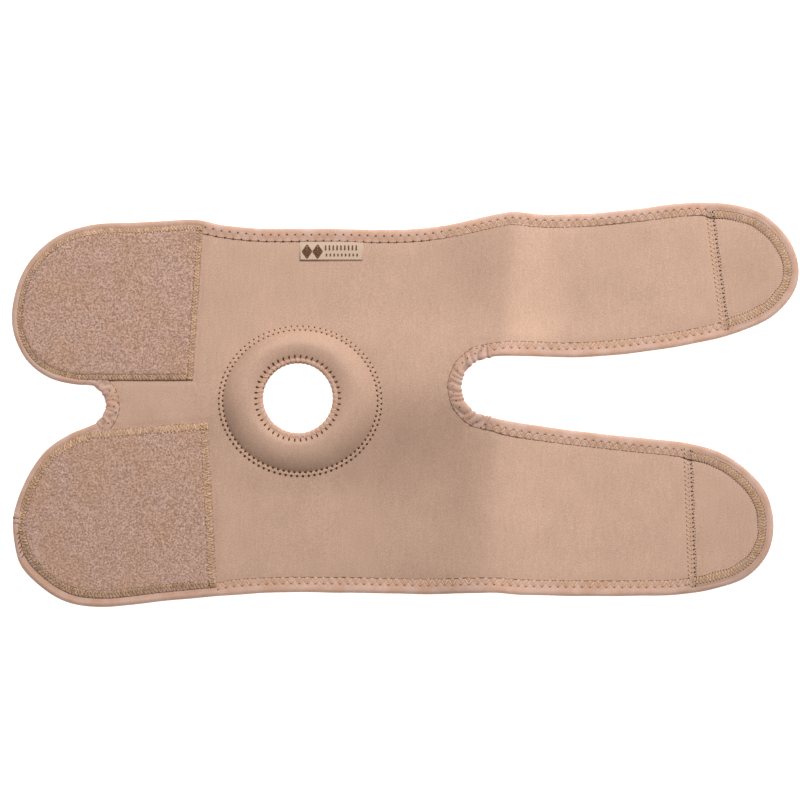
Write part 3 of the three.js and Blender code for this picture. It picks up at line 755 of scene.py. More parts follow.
class Workshop:
    """Turns shapes into pieces of the scene, at the frame's own place."""

    def __init__(self) -> None:
        """Finds the frame's own place from the hole's edging, and builds the finishes."""
        low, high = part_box("hole_edging")
        self.shift = np.array([(low.x + high.x) / 2, (low.y + high.y) / 2, 0.0])
        self.materials = {cloth: cloth.value.build() for cloth in Cloth}

    def piece(self, name: str, shape: Shape, cloth: Cloth, slot: Slot,
              nodes: tuple[str, ...] = ()) -> bpy.types.Object:
        """Makes a piece that rides on the frame.

        Args:
            name: The piece's name.
            shape: Its surfaces, in millimetres.
            cloth: Its finish.
            slot: The record's slot for its finish; not used.
            nodes: The CAD nodes that it stands for.

        Returns:
            The piece's object.
        """
        mesh = bpy.data.meshes.new(name)
        points = np.vstack(shape.points) * MM + self.shift
        mesh.from_pydata(points.tolist(), [], shape.faces)
        corners = np.empty(len(mesh.polygons), np.int32)
        mesh.polygons.foreach_get("loop_total", corners)
        mesh.polygons.foreach_set("use_smooth", corners <= 4)
        tone = mesh.attributes.new("tone", "FLOAT", "POINT")
        tone.data.foreach_set("value", np.concatenate(shape.tones).astype(np.float32))
        mesh.update()
        piece = bpy.data.objects.new(name, mesh)
        bpy.context.scene.collection.objects.link(piece)
        mesh.materials.append(self.materials[cloth])
        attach(piece, "root")
        if nodes:
            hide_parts(*nodes)
        LOG.info("%s: %d faces", name, len(mesh.polygons))
        return piece


# Folded tape
@dataclass
class FoldedTape:
    """The tape folded over the panel's edge, sewn with a wide zigzag and gathered round the tight curves.

    Its shades are shares by which its colour is darker, most of them painted shade; its dips and puffs are
    heights.
    """

    size: BraceSizes
    outline: Loop
    lie: Lie
    crown: float = 5.1
    roll: float = 2.5
    inner_height: float = 4.1
    tip_extra: float = 1.9
    calf_extra: float = 1.6
    slot_extra: float = 1.1
    pitch: float = 5.5
    rows: tuple[float, float] = (-4.3, -0.4)
    puff_depth: float = 0.95
    slot_pleats: int = 15
    notch_pleats: int = 7
    step: float = 0.72
    thigh_shyness: float = 0.65
    # Painted shade beside the threads, round the holes and over the gathers; darker round the tips and wings.
    thread_shade: float = 0.24
    hole_shades: tuple[float, float] = (0.28, 0.35)
    gather_shades: tuple[float, float] = (0.06, 0.34)
    tip_shades: tuple[float, float] = (0.16, 0.14)
    pad_shade: float = 0.08
    # Painted shade before the fold's crest, painted highlight beyond it, and darker at the tip.
    painted_fold_light: tuple[float, float, float] = (0.17, -0.07, 0.1)
    thread_dip: float = 0.3
    thread_puff: float = 0.24
    hole_dips: tuple[float, float] = (0.5, 0.45)
    tip_crease: float = 0.22
    pad_press: float = 0.3
    gather_height: float = 1.15
    deep_creases: tuple[float, float, float] = (0.05, 0.93, 0.8)
    slot_arc: float = 64.0

    def tip_share(self, s: Array) -> Array:
        """1 round the strap tips, 0 elsewhere, from 3 mm before a seam to 5 mm beyond it."""
        return smooth_step(self.size.beyond_tab_seam(self.outline.at(s, 5.0)), -3, 5)

    def pad_share(self, s: Array) -> Array:
        """1 where a pad covers the tape's inner half, 0 elsewhere."""
        return smooth_step(self.size.within_pad(self.outline.at(s, 6.0)), -1, 1)

    def width(self, s: Array) -> Array:
        """Width of the tape: wider round the strap tips, along the calf edge and beside the slot."""
        place, tip = self.outline.at(s), self.tip_share(s)
        x, y = place[..., 0], place[..., 1]
        calf = smooth_step(-y, 95, 118) * smooth_step(x, -60, -40)
        beside = smooth_step(x, self.size.slot[0], self.size.slot[0] + 14)
        slot = beside * (1 - smooth_step(np.abs(y - self.size.slot[1]), 55, 75))
        plain = self.calf_extra * calf + self.slot_extra * slot
        return self.size.tape_width + self.tip_extra * tip + (1 - tip) * plain

    def sewn(self, s: Array) -> Array:
        """1 on the plain stretches, where the wide zigzag shows, 0 elsewhere."""
        return (1 - self.pad_share(s)) * (1 - self.tip_share(s)) * (1 - self.on_arc(s))

    def stitches(self, s: Array, d: Array, width: Array) -> tuple[Array, Array, Array, Array]:
        """How the wide zigzag lies about each place.

        Args:
            s: Arc lengths.
            d: Distances inwards.
            width: Width of the tape there.

        Returns:
            1 between the rows of holes and 0 outside, and the distances from the thread and from the nearest
            outer and inner hole.
        """
        outer, inner = width + self.rows[0], width + self.rows[1]
        phase = np.abs(np.mod(s / self.pitch, 1.0) - 0.5) * 2
        across = (d - outer) / (inner - outer)
        from_thread = (across - phase) * self.pitch / 2 * 0.8
        within = smooth_step(across, -0.25, 0.0) * (1 - smooth_step(across, 1.05, 1.25))
        from_outer = np.hypot(phase * self.pitch / 2, d - outer)
        from_inner = np.hypot((1 - phase) * self.pitch / 2, d - inner)
        return within, from_thread, from_outer, from_inner

    def bold(self, s: Array) -> Array:
        """How strongly the wide zigzag shows: less along the body's thigh edge, where the tape swells."""
        place = self.outline.at(s)
        thigh = smooth_step(place[..., 1], 50, 80) * (1 - smooth_step(place[..., 0], 60, 150))
        return 1 - self.thigh_shyness * thigh

    def tone(self, s: Array, d: Array) -> Array:
        """Brightness of the tape.

        Painted shade darkens it beside its threads and holes and over the gathers, most in their creases. On
        the calf edge painted shade falls on the body's side of the fold and painted highlight just beyond the
        crest, and it is darker at the tip. It is also darker round the strap tips inwards of the roll and
        round the wings.

        Args:
            s: Arc lengths along the outline.
            d: Distances inwards.

        Returns:
            Brightness, 1 where nothing darkens it.
        """
        within, from_thread, from_outer, from_inner = self.stitches(s, d, self.width(s))
        # Painted shade beside the threads and round the needle holes.
        beside = bell(np.abs(from_thread) - 0.7, 0.38)
        holes = self.hole_shades[0] * bell(from_outer, 0.8) + self.hole_shades[1] * bell(from_inner, 1.0)
        tone = 1 - self.sewn(s) * self.bold(s) * (within * self.thread_shade * beside + holes)
        # Painted shade over the gathers, deepest in their creases.
        even, creased = self.gather_shades
        tone = tone * (1 - self.on_arc(s) * (even + creased * (1 - self.pleats(s, d)) ** 2))
        roll, band = self.tip_shades
        tip = roll * smooth_step(d, 1.5, 4.0) + band * smooth_step(d, 4.5, 6.0)
        tone = tone * (1 - self.tip_share(s) * tip)
        place = self.outline.at(s)
        away = self.lie.from_crest(place[..., 0], place[..., 1])
        calf = smooth_step(-place[..., 1], 90, 110)
        # Painted shade before the fold's crest on the calf edge, painted highlight just beyond it, darker at
        # the tip.
        before, beyond, at_tip = self.painted_fold_light
        shade = before * bell(away + 22, 24) + beyond * bell(away - 16, 20)
        shade = shade + at_tip * smooth_step(away, 110, 140)
        return tone * (1 - self.pad_shade * self.pad_share(s)) * (1 - calf * shade)

    def arc_shares(self, s: Array) -> tuple[Array, Array]:
        """Share of the way round the slot's and the notch's round ends, or NaN away from them."""
        place = self.outline.at(s)
        shares = []
        for centre, radius, start, end in (
            (self.size.slot, self.size.slot_radius, 90.0, 270.0),
            (self.size.notch, self.size.notch_radius, self.size.notch_foot_deg, self.size.notch_top_deg),
        ):
            away = place - np.array(centre)
            turned = np.mod(np.degrees(np.arctan2(away[..., 1], away[..., 0])) - start, 360.0)
            share = turned / (end - start)
            on_arc = (np.abs(np.linalg.norm(away, axis=-1) - radius) < radius / 4) & (share < 1)
            shares.append(np.where(on_arc, share, np.nan))
        return shares[0], shares[1]

    def pleats(self, s: Array, d: Array) -> Array:
        """Height of the gathers, from 0 in a crease to 1 on a puff.

        It is |sin(pi * (count * share of the arc + unevenness + lean across the tape))|.

        Args:
            s: Arc lengths along the outline.
            d: Distances inwards.

        Returns:
            Heights, 0 off the arcs.
        """
        slot, notch = self.arc_shares(s)
        lean = 0.9 * (d / self.size.tape_width - 0.5)
        made = np.zeros(np.broadcast(s, d).shape)
        for share, count in ((slot, self.slot_pleats), (notch, self.notch_pleats)):
            inside = ~np.isnan(share)
            ends = smooth_step(share, 0.0, 0.08) * (1 - smooth_step(share, 0.92, 1.0))
            uneven = 0.42 * np.sin(2 * np.pi * share * 2.0) + 0.3 * np.sin(2 * np.pi * share * 5.0)
            wave = np.abs(np.sin(np.pi * (count * share + uneven + lean * ends)))
            made = np.where(inside, wave, made)
        return made

    def on_arc(self, s: Array) -> Array:
        """1 on the gathered arcs, 0 elsewhere."""
        slot, notch = self.arc_shares(s)
        return np.where(np.isnan(slot) & np.isnan(notch), 0.0, 1.0)

    def top(self, s: Array, d: Array) -> Array:
        """Height of the tape's upper face above the underside.

        It falls from the crown to the inner edge, is pulled down along each thread of the zigzag and at both
        rows of needle holes, and is gathered round the arcs.

        Args:
            s: Arc lengths along the outline.
            d: Distances inwards.

        Returns:
            Heights.
        """
        width, sewn = self.width(s), self.sewn(s)
        fall = smooth_step((d - self.roll) / (width - self.roll), 0.05, 1.1)
        height = self.crown - (self.crown - self.inner_height) * fall
        height = height + 0.14 * np.sin(s / 9.3 + 0.8 * np.sin(s / 31.0)) * bell(d - 3.2, 2.6)
        within, from_thread, from_outer, from_inner = self.stitches(s, d, width)
        sewn = sewn * self.bold(s)
        height = height - sewn * within * self.thread_dip * bell(from_thread, 0.62)
        height = height + sewn * within * self.thread_puff * (1 - bell(from_thread, 1.1))
        outer_dip, inner_dip = self.hole_dips
        height = height - sewn * (outer_dip * bell(from_outer, 0.9) + inner_dip * bell(from_inner, 0.8))
        crease = bell(d - 4.6 - 0.9 * np.sin(s / 17.0), 0.5)
        crease = crease + 0.6 * bell(d - 3.2 - 0.7 * np.sin(s / 11.0), 0.45)
        height = height - self.tip_crease * self.tip_share(s) * crease
        height = height - self.pad_press * self.pad_share(s) * smooth_step(d, 2.6, 4.0)
        gathered = self.on_arc(s) * (self.pleats(s, d) ** 0.7 - 0.62)
        slot, _ = self.arc_shares(s)
        first, last, depth = self.deep_creases
        deep = bell((slot - first) * self.slot_arc, 1.1) + bell((slot - last) * self.slot_arc, 1.1)
        deep = np.nan_to_num(deep)
        return height + (self.gather_height * gathered - depth * deep) * (1 - 0.75 * smooth_step(d, 6.5, 8.8))

    def rings(self, s: Array, drop: Array | float = 0.0) -> Array:
        """Sections of the tape at stations s: over the top from the inner edge, round the roll, back beneath.

        Args:
            s: Arc lengths of the stations.
            drop: How far the upper face is pressed down at each station.

        Returns:
            Places, (stations, places round the section, 3).
        """
        width = self.width(s)[:, None]
        share = np.linspace(1, 0, 16)[None, :]
        top_d = self.roll + (width - self.roll) * share
        turn = np.radians(np.linspace(75, -75, 8))[None, :]
        edge_d = self.roll * (1 - np.cos(turn)) + np.zeros_like(width)
        low_d = self.roll + (width - self.roll) * np.linspace(0, 1, 5)[None, :]
        station = s[:, None]
        press = np.broadcast_to(np.asarray(drop, float), s.shape)[:, None]
        top_z = self.top(station, top_d) - press
        crown = self.top(station, np.full_like(width, self.roll)) - press
        hidden = 0.3 * (np.abs(press) > 0)
        low_z = hidden + 0.35 * smooth_step(low_d, 5.5, 8.5)
        edge_z = crown / 2 + crown / 2 * np.sin(turn)
        d = np.concatenate([top_d, edge_d, low_d], axis=1)
        z = np.concatenate([top_z, edge_z, low_z], axis=1)
        wobble = 0.22 * np.sin(s / 14.0 + 1.1 * np.sin(s / 47.0)) + 0.12 * np.sin(s / 5.1)
        puff = self.puff_depth * self.on_arc(station) * self.pleats(station, d) + wobble[:, None] * 0.6
        d = d - puff * (1 - smooth_step(d, 2.0, 6.0))
        place = self.outline.at(np.broadcast_to(station, d.shape), d)
        height = z + self.lie.at(place[..., 0], place[..., 1])
        return np.concatenate([place, height[..., None]], axis=-1)

    def stretch(self, start: float, end: float, tuck: float = 0.0) -> tuple[Array, list[Array], Array]:
        """A stretch of tape with capped ends.

        Args:
            start: Arc length where it starts.
            end: Arc length where it ends, beyond start.
            tuck: How far its ends are pressed down under what covers them; raised if negative.

        Returns:
            Vertices, face arrays and the tone of each vertex.
        """
        s = np.linspace(start, end, int((end - start) / self.step))
        near = np.minimum(s - start, end - s)
        rings = self.rings(s, tuck * (1 - smooth_step(near, 1.0, 6.0)))
        top = rings.shape[1] - 13
        depth = self.roll + (self.width(s)[:, None] - self.roll) * np.linspace(1, 0, top)[None, :]
        tone = np.ones(rings.shape[:2])
        tone[:, :top] = self.tone(s[:, None], depth)
        tone[:, top:] = tone[:, top - 1:top]
        points, faces = loft(rings, closed=False)
        return points, faces, tone.reshape(-1)

    def lay(self, s: Array, d: Array, lift: Array | float) -> Array:
        """Places on the tape's upper face, raised by lift."""
        place = self.outline.at(s, d)
        height = self.top(s, d) + self.lie.at(place[..., 0], place[..., 1]) + lift
        return np.concatenate([place, height[..., None]], axis=-1)


@dataclass(frozen=True)
class Zigzag:
    """A zigzag seam along a loop, whose needle holes alternate between two rows."""

    pitch: float
    outer: float
    inner: float
    radius: float = 0.28
    bow: float = 0.25
    sway: float = 0.12
    seed: int = 1
    places: int = 5

    def holes(self, start: float, end: float) -> tuple[Array, Array]:
        """Arc lengths and insets of the needle holes, row by row in turn.

        Args:
            start: Where the seam starts.
            end: Where it ends.

        Returns:
            Arc lengths and insets; even ones lie on the inner row.
        """
        count = max(2, int(round((end - start) / (self.pitch / 2))))
        s = start + (end - start) * np.arange(count + 1) / count
        d = np.where(np.arange(count + 1) % 2 == 0, self.inner, self.outer)
        rng = np.random.default_rng(self.seed)
        return s + rng.uniform(-1, 1, s.shape) * self.sway, d + rng.uniform(-1, 1, s.shape) * self.sway * 1.2

    def legs(self, start: float, end: float) -> tuple[Array, Array, Array]:
        """Arc length, inset and lift of each place on each leg of the seam, (legs, places).

        The lift is the bow times sin(pi t), less a dip at both ends.
        """
        s, d = self.holes(start, end)
        t = np.linspace(0, 1, self.places)[None, :]
        along = s[:-1, None] * (1 - t) + s[1:, None] * t
        across = d[:-1, None] * (1 - t) + d[1:, None] * t
        lift = self.radius * 0.5 + self.bow * np.sin(np.pi * t) - 0.15 * (np.abs(2 * t - 1) ** 6)
        return along, across, np.broadcast_to(lift, along.shape)


class TapeSewing:
    """The tape with its seams: zigzag on the plain stretches, a round of stitches on the gathered arcs."""

    joint_place = (-193.6, -81.1)
    loose_ends = ((-188.0, -92.0), (-184.5, -107.0))

    def __init__(self, shop: Workshop, tape: FoldedTape) -> None:
        """Keeps what it sews with."""
        self.shop, self.tape = shop, tape
        size = tape.size
        ends = np.stack([size.on_notch(size.notch_foot_deg), size.on_notch(size.notch_top_deg)])
        self.foot, self.top = tape.outline.arc_of(ends)
        self.length = tape.outline.length

    def build(self) -> list[bpy.types.Object]:
        """Makes the tape, its threads and its needle marks, and returns them."""
        made = [self._edge(), self._notch()]
        made += self._threads()
        return made

    def _edge(self) -> bpy.types.Object:
        """The long tape, from the notch's top round the whole outline to its foot."""
        start, end = self.top - self.length - 2.5, self.foot + 2.5
        shape = Shape().add(*self.tape.stretch(start, end))
        joint = self.tape.outline.arc_of(np.array([self.joint_place]))[0]
        shape.add(*self.tape.stretch(joint - 3.6, joint + 3.6, tuck=-0.55))
        nodes = ("thigh_edge_binding", "upper_strap_binding", "upper_tip_binding", "calf_edge_binding",
                 "lower_strap_binding", "lower_tip_binding", "slot_binding")
        return self.shop.piece("edge_tape", shape, Cloth.TAPE, Slot.TAPE, nodes)

    def _notch(self) -> bpy.types.Object:
        """The short tape round the notch, its ends tucked under the long one."""
        shape = Shape().add(*self.tape.stretch(self.foot - 4, self.top + 4, tuck=0.9))
        return self.shop.piece("notch_tape", shape, Cloth.TAPE, Slot.TAPE, ("notch_binding",))

    def _threads(self) -> list[bpy.types.Object]:
        """The threads on the tape's upper face, the beads at their holes and the painted shade along its
        inner edge.
        """
        tape = self.tape
        seam = Zigzag(tape.pitch, *tape.rows, radius=0.3, bow=0.08, places=6)
        count = int(round(self.length / tape.pitch))
        tape_s, tape_d, lift = seam.legs(0.0, count * tape.pitch)
        plain = tape.sewn(tape_s.mean(axis=1)) > 0.5
        tape_s, tape_d, lift = tape_s[plain], tape_d[plain] + tape.width(tape_s[plain]), lift[plain]
        tone = np.random.default_rng(3).uniform(0.82, 1.1, len(tape_s))
        shown = tape.bold(tape_s.mean(axis=1)) > 0.6
        tape_s, tape_d, lift, tone = tape_s[shown], tape_d[shown], lift[shown], tone[shown]
        points, faces = tubes(tape.lay(tape_s, tape_d, lift), 0.34)
        pale = Shape().add(points, faces, np.repeat(tone, len(points) // len(tape_s)))
        hole_s, hole_d = seam.holes(0.0, count * tape.pitch)
        keep = tape.sewn(hole_s) > 0.5
        inner = hole_d > (tape.rows[0] + tape.rows[1]) / 2
        hole_d = hole_d + tape.width(hole_s)
        near, far = keep & ~inner, keep & inner
        # Beads at the needle holes: the thread there, and painted shade of the holes.
        marks = Shape().add(*beads(tape.lay(hole_s[far], hole_d[far] + 0.25, 0.16), 0.72, 0.3))
        soft = Shape().add(*beads(tape.lay(hole_s[near], hole_d[near] - 0.3, 0.14), 0.68, 0.3))
        # Painted shade in the gap along the tape's inner edge, drawn as dark dashes.
        soft.add(*self._crevice_shade_dashes())
        self._arc_marks(marks, soft)
        return [
            self.shop.piece("tape_zigzag", pale, Cloth.PALE_THREAD, Slot.THREAD),
            self.shop.piece("tape_needle_marks", marks, Cloth.DARK_STITCH_AND_HOLE_SHADE, Slot.THREAD),
            self.shop.piece("tape_brown_marks_and_crevice_shade", soft, Cloth.BROWN_STITCH_AND_SHADE, Slot.THREAD),
        ]

    def _crevice_shade_dashes(self) -> tuple[Array, list[Array]]:
        """Painted shade: thin dark brown dashes along the gap at the tape's inner edge, between its holes."""
        tape = self.tape
        count = int(self.length / (tape.pitch / 2))
        start = np.arange(count) * tape.pitch / 2
        reach = np.random.default_rng(9).uniform(1.5, 2.3, count)[:, None]
        s = start[:, None] + 0.4 + np.linspace(0, 1, 4)[None, :] * reach
        plain = tape.pad_share(s[:, 0]) + tape.tip_share(s[:, 0]) < 0.5
        s = s[plain]
        d = tape.width(s) + 0.1 + 0.12 * np.sin(s / 1.7)
        place = tape.outline.at(s, d)
        height = tape.size.panel - 0.12 + tape.lie.at(place[..., 0], place[..., 1])
        return tubes(np.concatenate([place, height[..., None]], axis=-1), 0.2)

    def _arc_marks(self, marks: Shape, soft: Shape) -> None:
        """Adds the stitches between the gathers, a few loose ones on the wing and the crease at the joint.

        Args:
            marks: Shape that takes the dark ones.
            soft: Shape that takes the paler ones.
        """
        tape = self.tape
        rng = np.random.default_rng(5)
        s = np.arange(0.0, self.length, 2.1)
        s = s[tape.on_arc(s) > 0.5]
        s = s + rng.uniform(-0.6, 0.6, len(s))
        d = np.where(np.arange(len(s)) % 2 == 0, 5.2, 7.7) + rng.uniform(-0.5, 0.5, len(s))
        # Brown dots at the stitches between the gathers: the thread there, and painted shade of the holes.
        soft.add(*beads(tape.lay(s, d, 0.08), rng.uniform(0.35, 0.6, len(s)), 0.25))
        ends = tape.outline.arc_of(np.array(self.loose_ends))
        start = np.linspace(ends.min(), ends.max(), 6)[:, None]
        loose = start + np.linspace(0, 2.0, 4)[None, :]
        depth = np.array([3.2, 3.9, 4.6, 5.0])[None, :] + 0.3 * np.sin(start)
        marks.add(*tubes(tape.lay(loose, depth, 0.75), 0.26))
        joint = tape.outline.arc_of(np.array([self.joint_place]))[0]
        depth = np.linspace(0.2, 4.2, 6)[None, :]
        crease = tape.lay(np.full_like(depth, joint), depth, 0.45)
        marks.add(*tubes(crease, np.array([0.5, 0.4, 0.2, 0.2, 0.25, 0.3])))


# Panel
@dataclass(frozen=True)
class Patch:
    """A soft patch of painted shade or painted highlight: its place from the fold's crest and across, its
    reaches, its share.
    """

    where: str
    along: float
    y: float
    reach_along: float
    reach_y: float
    share: float


@dataclass
class Panel:
    """The neoprene panel between its tapes."""

    size: BraceSizes
    outline: Loop
    tape: FoldedTape
    lie: Lie
    under_tape: float = 7.6
    step: float = 3.0
    fine_step: float = 1.1
    hole_margin: float = 3.2
    seam_middle: float = 1.7
    # Soft patches of painted shade (negative shares) and painted highlight (positive shares) on the knit.
    painted_light_places: tuple[Patch, ...] = (
        Patch("body's side of the fold, thigh half", -27, 96, 20, 38, -0.11),
        Patch("crest of the fold, thigh half", -5, 84, 9, 40, -0.05),
        Patch("strap's side of the fold, thigh half", 15, 85, 20, 48, 0.12),
        Patch("strap's side of the fold, calf half", 22, -75, 30, 62, 0.1),
        Patch("lower strap", 80, -70, 60, 50, 0.04),
        Patch("beside the slot", -60, -20, 34, 22, -0.13),
        Patch("below the slot", -56, -52, 42, 34, -0.13),
        Patch("beside the ring's foot", -186, -18, 18, 20, -0.14),
        Patch("below the ring", -131, -54, 42, 12, -0.13),
        Patch("beside the ring's foot towards the slot", -98, -38, 15, 16, -0.1),
        Patch("beside the ring's top", -184, 15, 9, 17, 0.1),
        Patch("end of the slot", -29, -8, 12, 18, -0.14),
        Patch("ridge at the slot", 24, 44, 17, 16, 0.16),
        Patch("between the ring and the slot", -68, -34, 50, 22, -0.06),
        Patch("crest of the fold, calf half", -20, -64, 15, 30, -0.08),
        Patch("band along the middle", -100, 46, 260, 12, 0.055),
        Patch("calf edge before the fold", -42, -124, 42, 26, -0.12),
        Patch("calf edge beyond the fold", 72, -122, 50, 16, 0.07),
        Patch("upper tip", 172, 95, 26, 45, -0.08),
        Patch("lower tip", 160, -85, 24, 40, -0.04),
    )

    def level(self, places: Array) -> Array:
        """Thickness of the panel, softly uneven."""
        x, y = places[..., 0] + 500, places[..., 1] + 500
        return self.size.panel + 0.24 * Lumps(34, 3).at(x, y) + 0.07 * Lumps(11, 4).at(x, y)

    def top(self, places: Array, depth: Array) -> Array:
        """Height of the knit face: the thickness, pressed down beside the tape and under the ring.

        Args:
            places: Flat places, (n, 2).
            depth: Their distances inwards from the outline.

        Returns:
            Heights above the surface it lies on.
        """
        x, y = places[:, 0], places[:, 1]
        height = self.level(places)
        s = self.outline.arc_of(places)
        beside = depth - self.tape.width(s)
        height = height - 0.35 * bell(np.maximum(beside + 0.4, 0), 3.0)
        gathers = self.tape.on_arc(s) * (self.tape.pleats(s, np.full_like(s, 8.8)) - 0.6)
        height = height + 0.7 * gathers * np.exp(-np.maximum(beside, 0) / 6.0)
        ring = np.array(self.size.ring_shift)
        half = np.array([self.size.ring_length, self.size.ring_width]) / 2
        away = (np.linalg.norm((places - ring) / half, axis=1) - 1) * half.mean()
        height = height - 0.12 * bell(away, 2.4) - 1.6 * (1 - smooth_step(away, -2.4, -0.9))
        beyond = np.where(x > self.size.slot[0], self.size.beyond_tab_seam(places), -99.0)
        height = height - 0.85 * bell(beyond - self.seam_middle, 2.1) - 0.5 * bell(beyond - 4.5, 4.0)
        within = np.where(x < self.size.notch[0] + 120, self.size.within_pad(places), -99.0)
        height = height - 0.5 * bell(np.minimum(within + 0.4, 0), 2.2)
        return height + self.lie.at(x, y)

    def painted_light(self, x: Array, y: Array) -> Array:
        """Brightness of the knit: 1, made darker or lighter by soft patches of painted shade and painted
        highlight.
        """
        away = self.lie.from_crest(x, y)
        tone = np.ones_like(x)
        for patch in self.painted_light_places:
            along = bell(away - patch.along, patch.reach_along)
            tone = tone + patch.share * along * bell(y - patch.y, patch.reach_y)
        return tone

    def face(self, places: Array) -> Array:
        """Height of the upper face anywhere: the tape's over the tape, and the panel's inside it."""
        flat = places.reshape(-1, 2)
        s, d = self.outline.arc_of(flat), self.outline.depth(flat)
        tape = self.tape.top(s, d) + self.lie.at(flat[:, 0], flat[:, 1])
        return np.where(d < self.tape.width(s), tape, self.top(flat, d)).reshape(places.shape[:-1])

    def by_seam(self, places: Array) -> Array:
        """True for places close to a seam across a strap or at a pad's side."""
        beyond = np.where(places[:, 0] > self.size.slot[0], self.size.beyond_tab_seam(places), -99.0)
        within = np.where(places[:, 0] < self.size.notch[0] + 120, self.size.within_pad(places), -99.0)
        half = np.array([self.size.ring_length, self.size.ring_width]) / 2
        away = (np.linalg.norm((places - np.array(self.size.ring_shift)) / half, axis=1) - 1) * half.mean()
        return (np.abs(beyond - self.seam_middle) < 7) | ((within > -6) & (within < 2)) | (np.abs(away) < 4.5)

    def build(self, shop: Workshop) -> bpy.types.Object:
        """Makes the panel."""
        rows = [7.6, 8.8, 9.8, 11.0, 12.6, 14.6, 17.2]
        s = np.linspace(0, self.outline.length, int(self.outline.length / 1.9), endpoint=False)
        border = self.outline.at(s, self.under_tape)
        inner_rows = [self.outline.at(s + k, np.full_like(s, d)) for k, d in enumerate(rows[1:])]
        turn = np.linspace(0, 2 * np.pi, 90, endpoint=False)
        radius = self.size.hole_radius + self.hole_margin
        hole = radius * np.stack([np.cos(turn), np.sin(turn)], axis=1)
        grid = scatter(self.outline.points.min(0), self.outline.points.max(0), self.step, 7)
        fine = scatter(self.outline.points.min(0), self.outline.points.max(0), self.fine_step, 8)
        grid = np.vstack([grid[~self.by_seam(grid)], fine[self.by_seam(fine)]])
        off_hole = np.linalg.norm(grid, axis=1) > radius + 2
        inner = grid[(self.outline.depth(grid) > rows[-1] + 1.4) & off_hole]
        places, triangles = filled(border, np.vstack([*inner_rows, inner]), hole)
        depth = self.outline.depth(places)
        bottom = self.lie.at(places[:, 0], places[:, 1]) + 0.25
        points, faces = slab(places, triangles, self.top(places, depth), bottom)
        # The knit's tone carries the patches of painted shade and painted highlight.
        shape = Shape().add(points, faces, self.painted_light(points[:, 0], points[:, 1]))
        return shop.piece("panel_cloth", shape, Cloth.KNIT, Slot.NEOPRENE, ("neoprene_panel",))


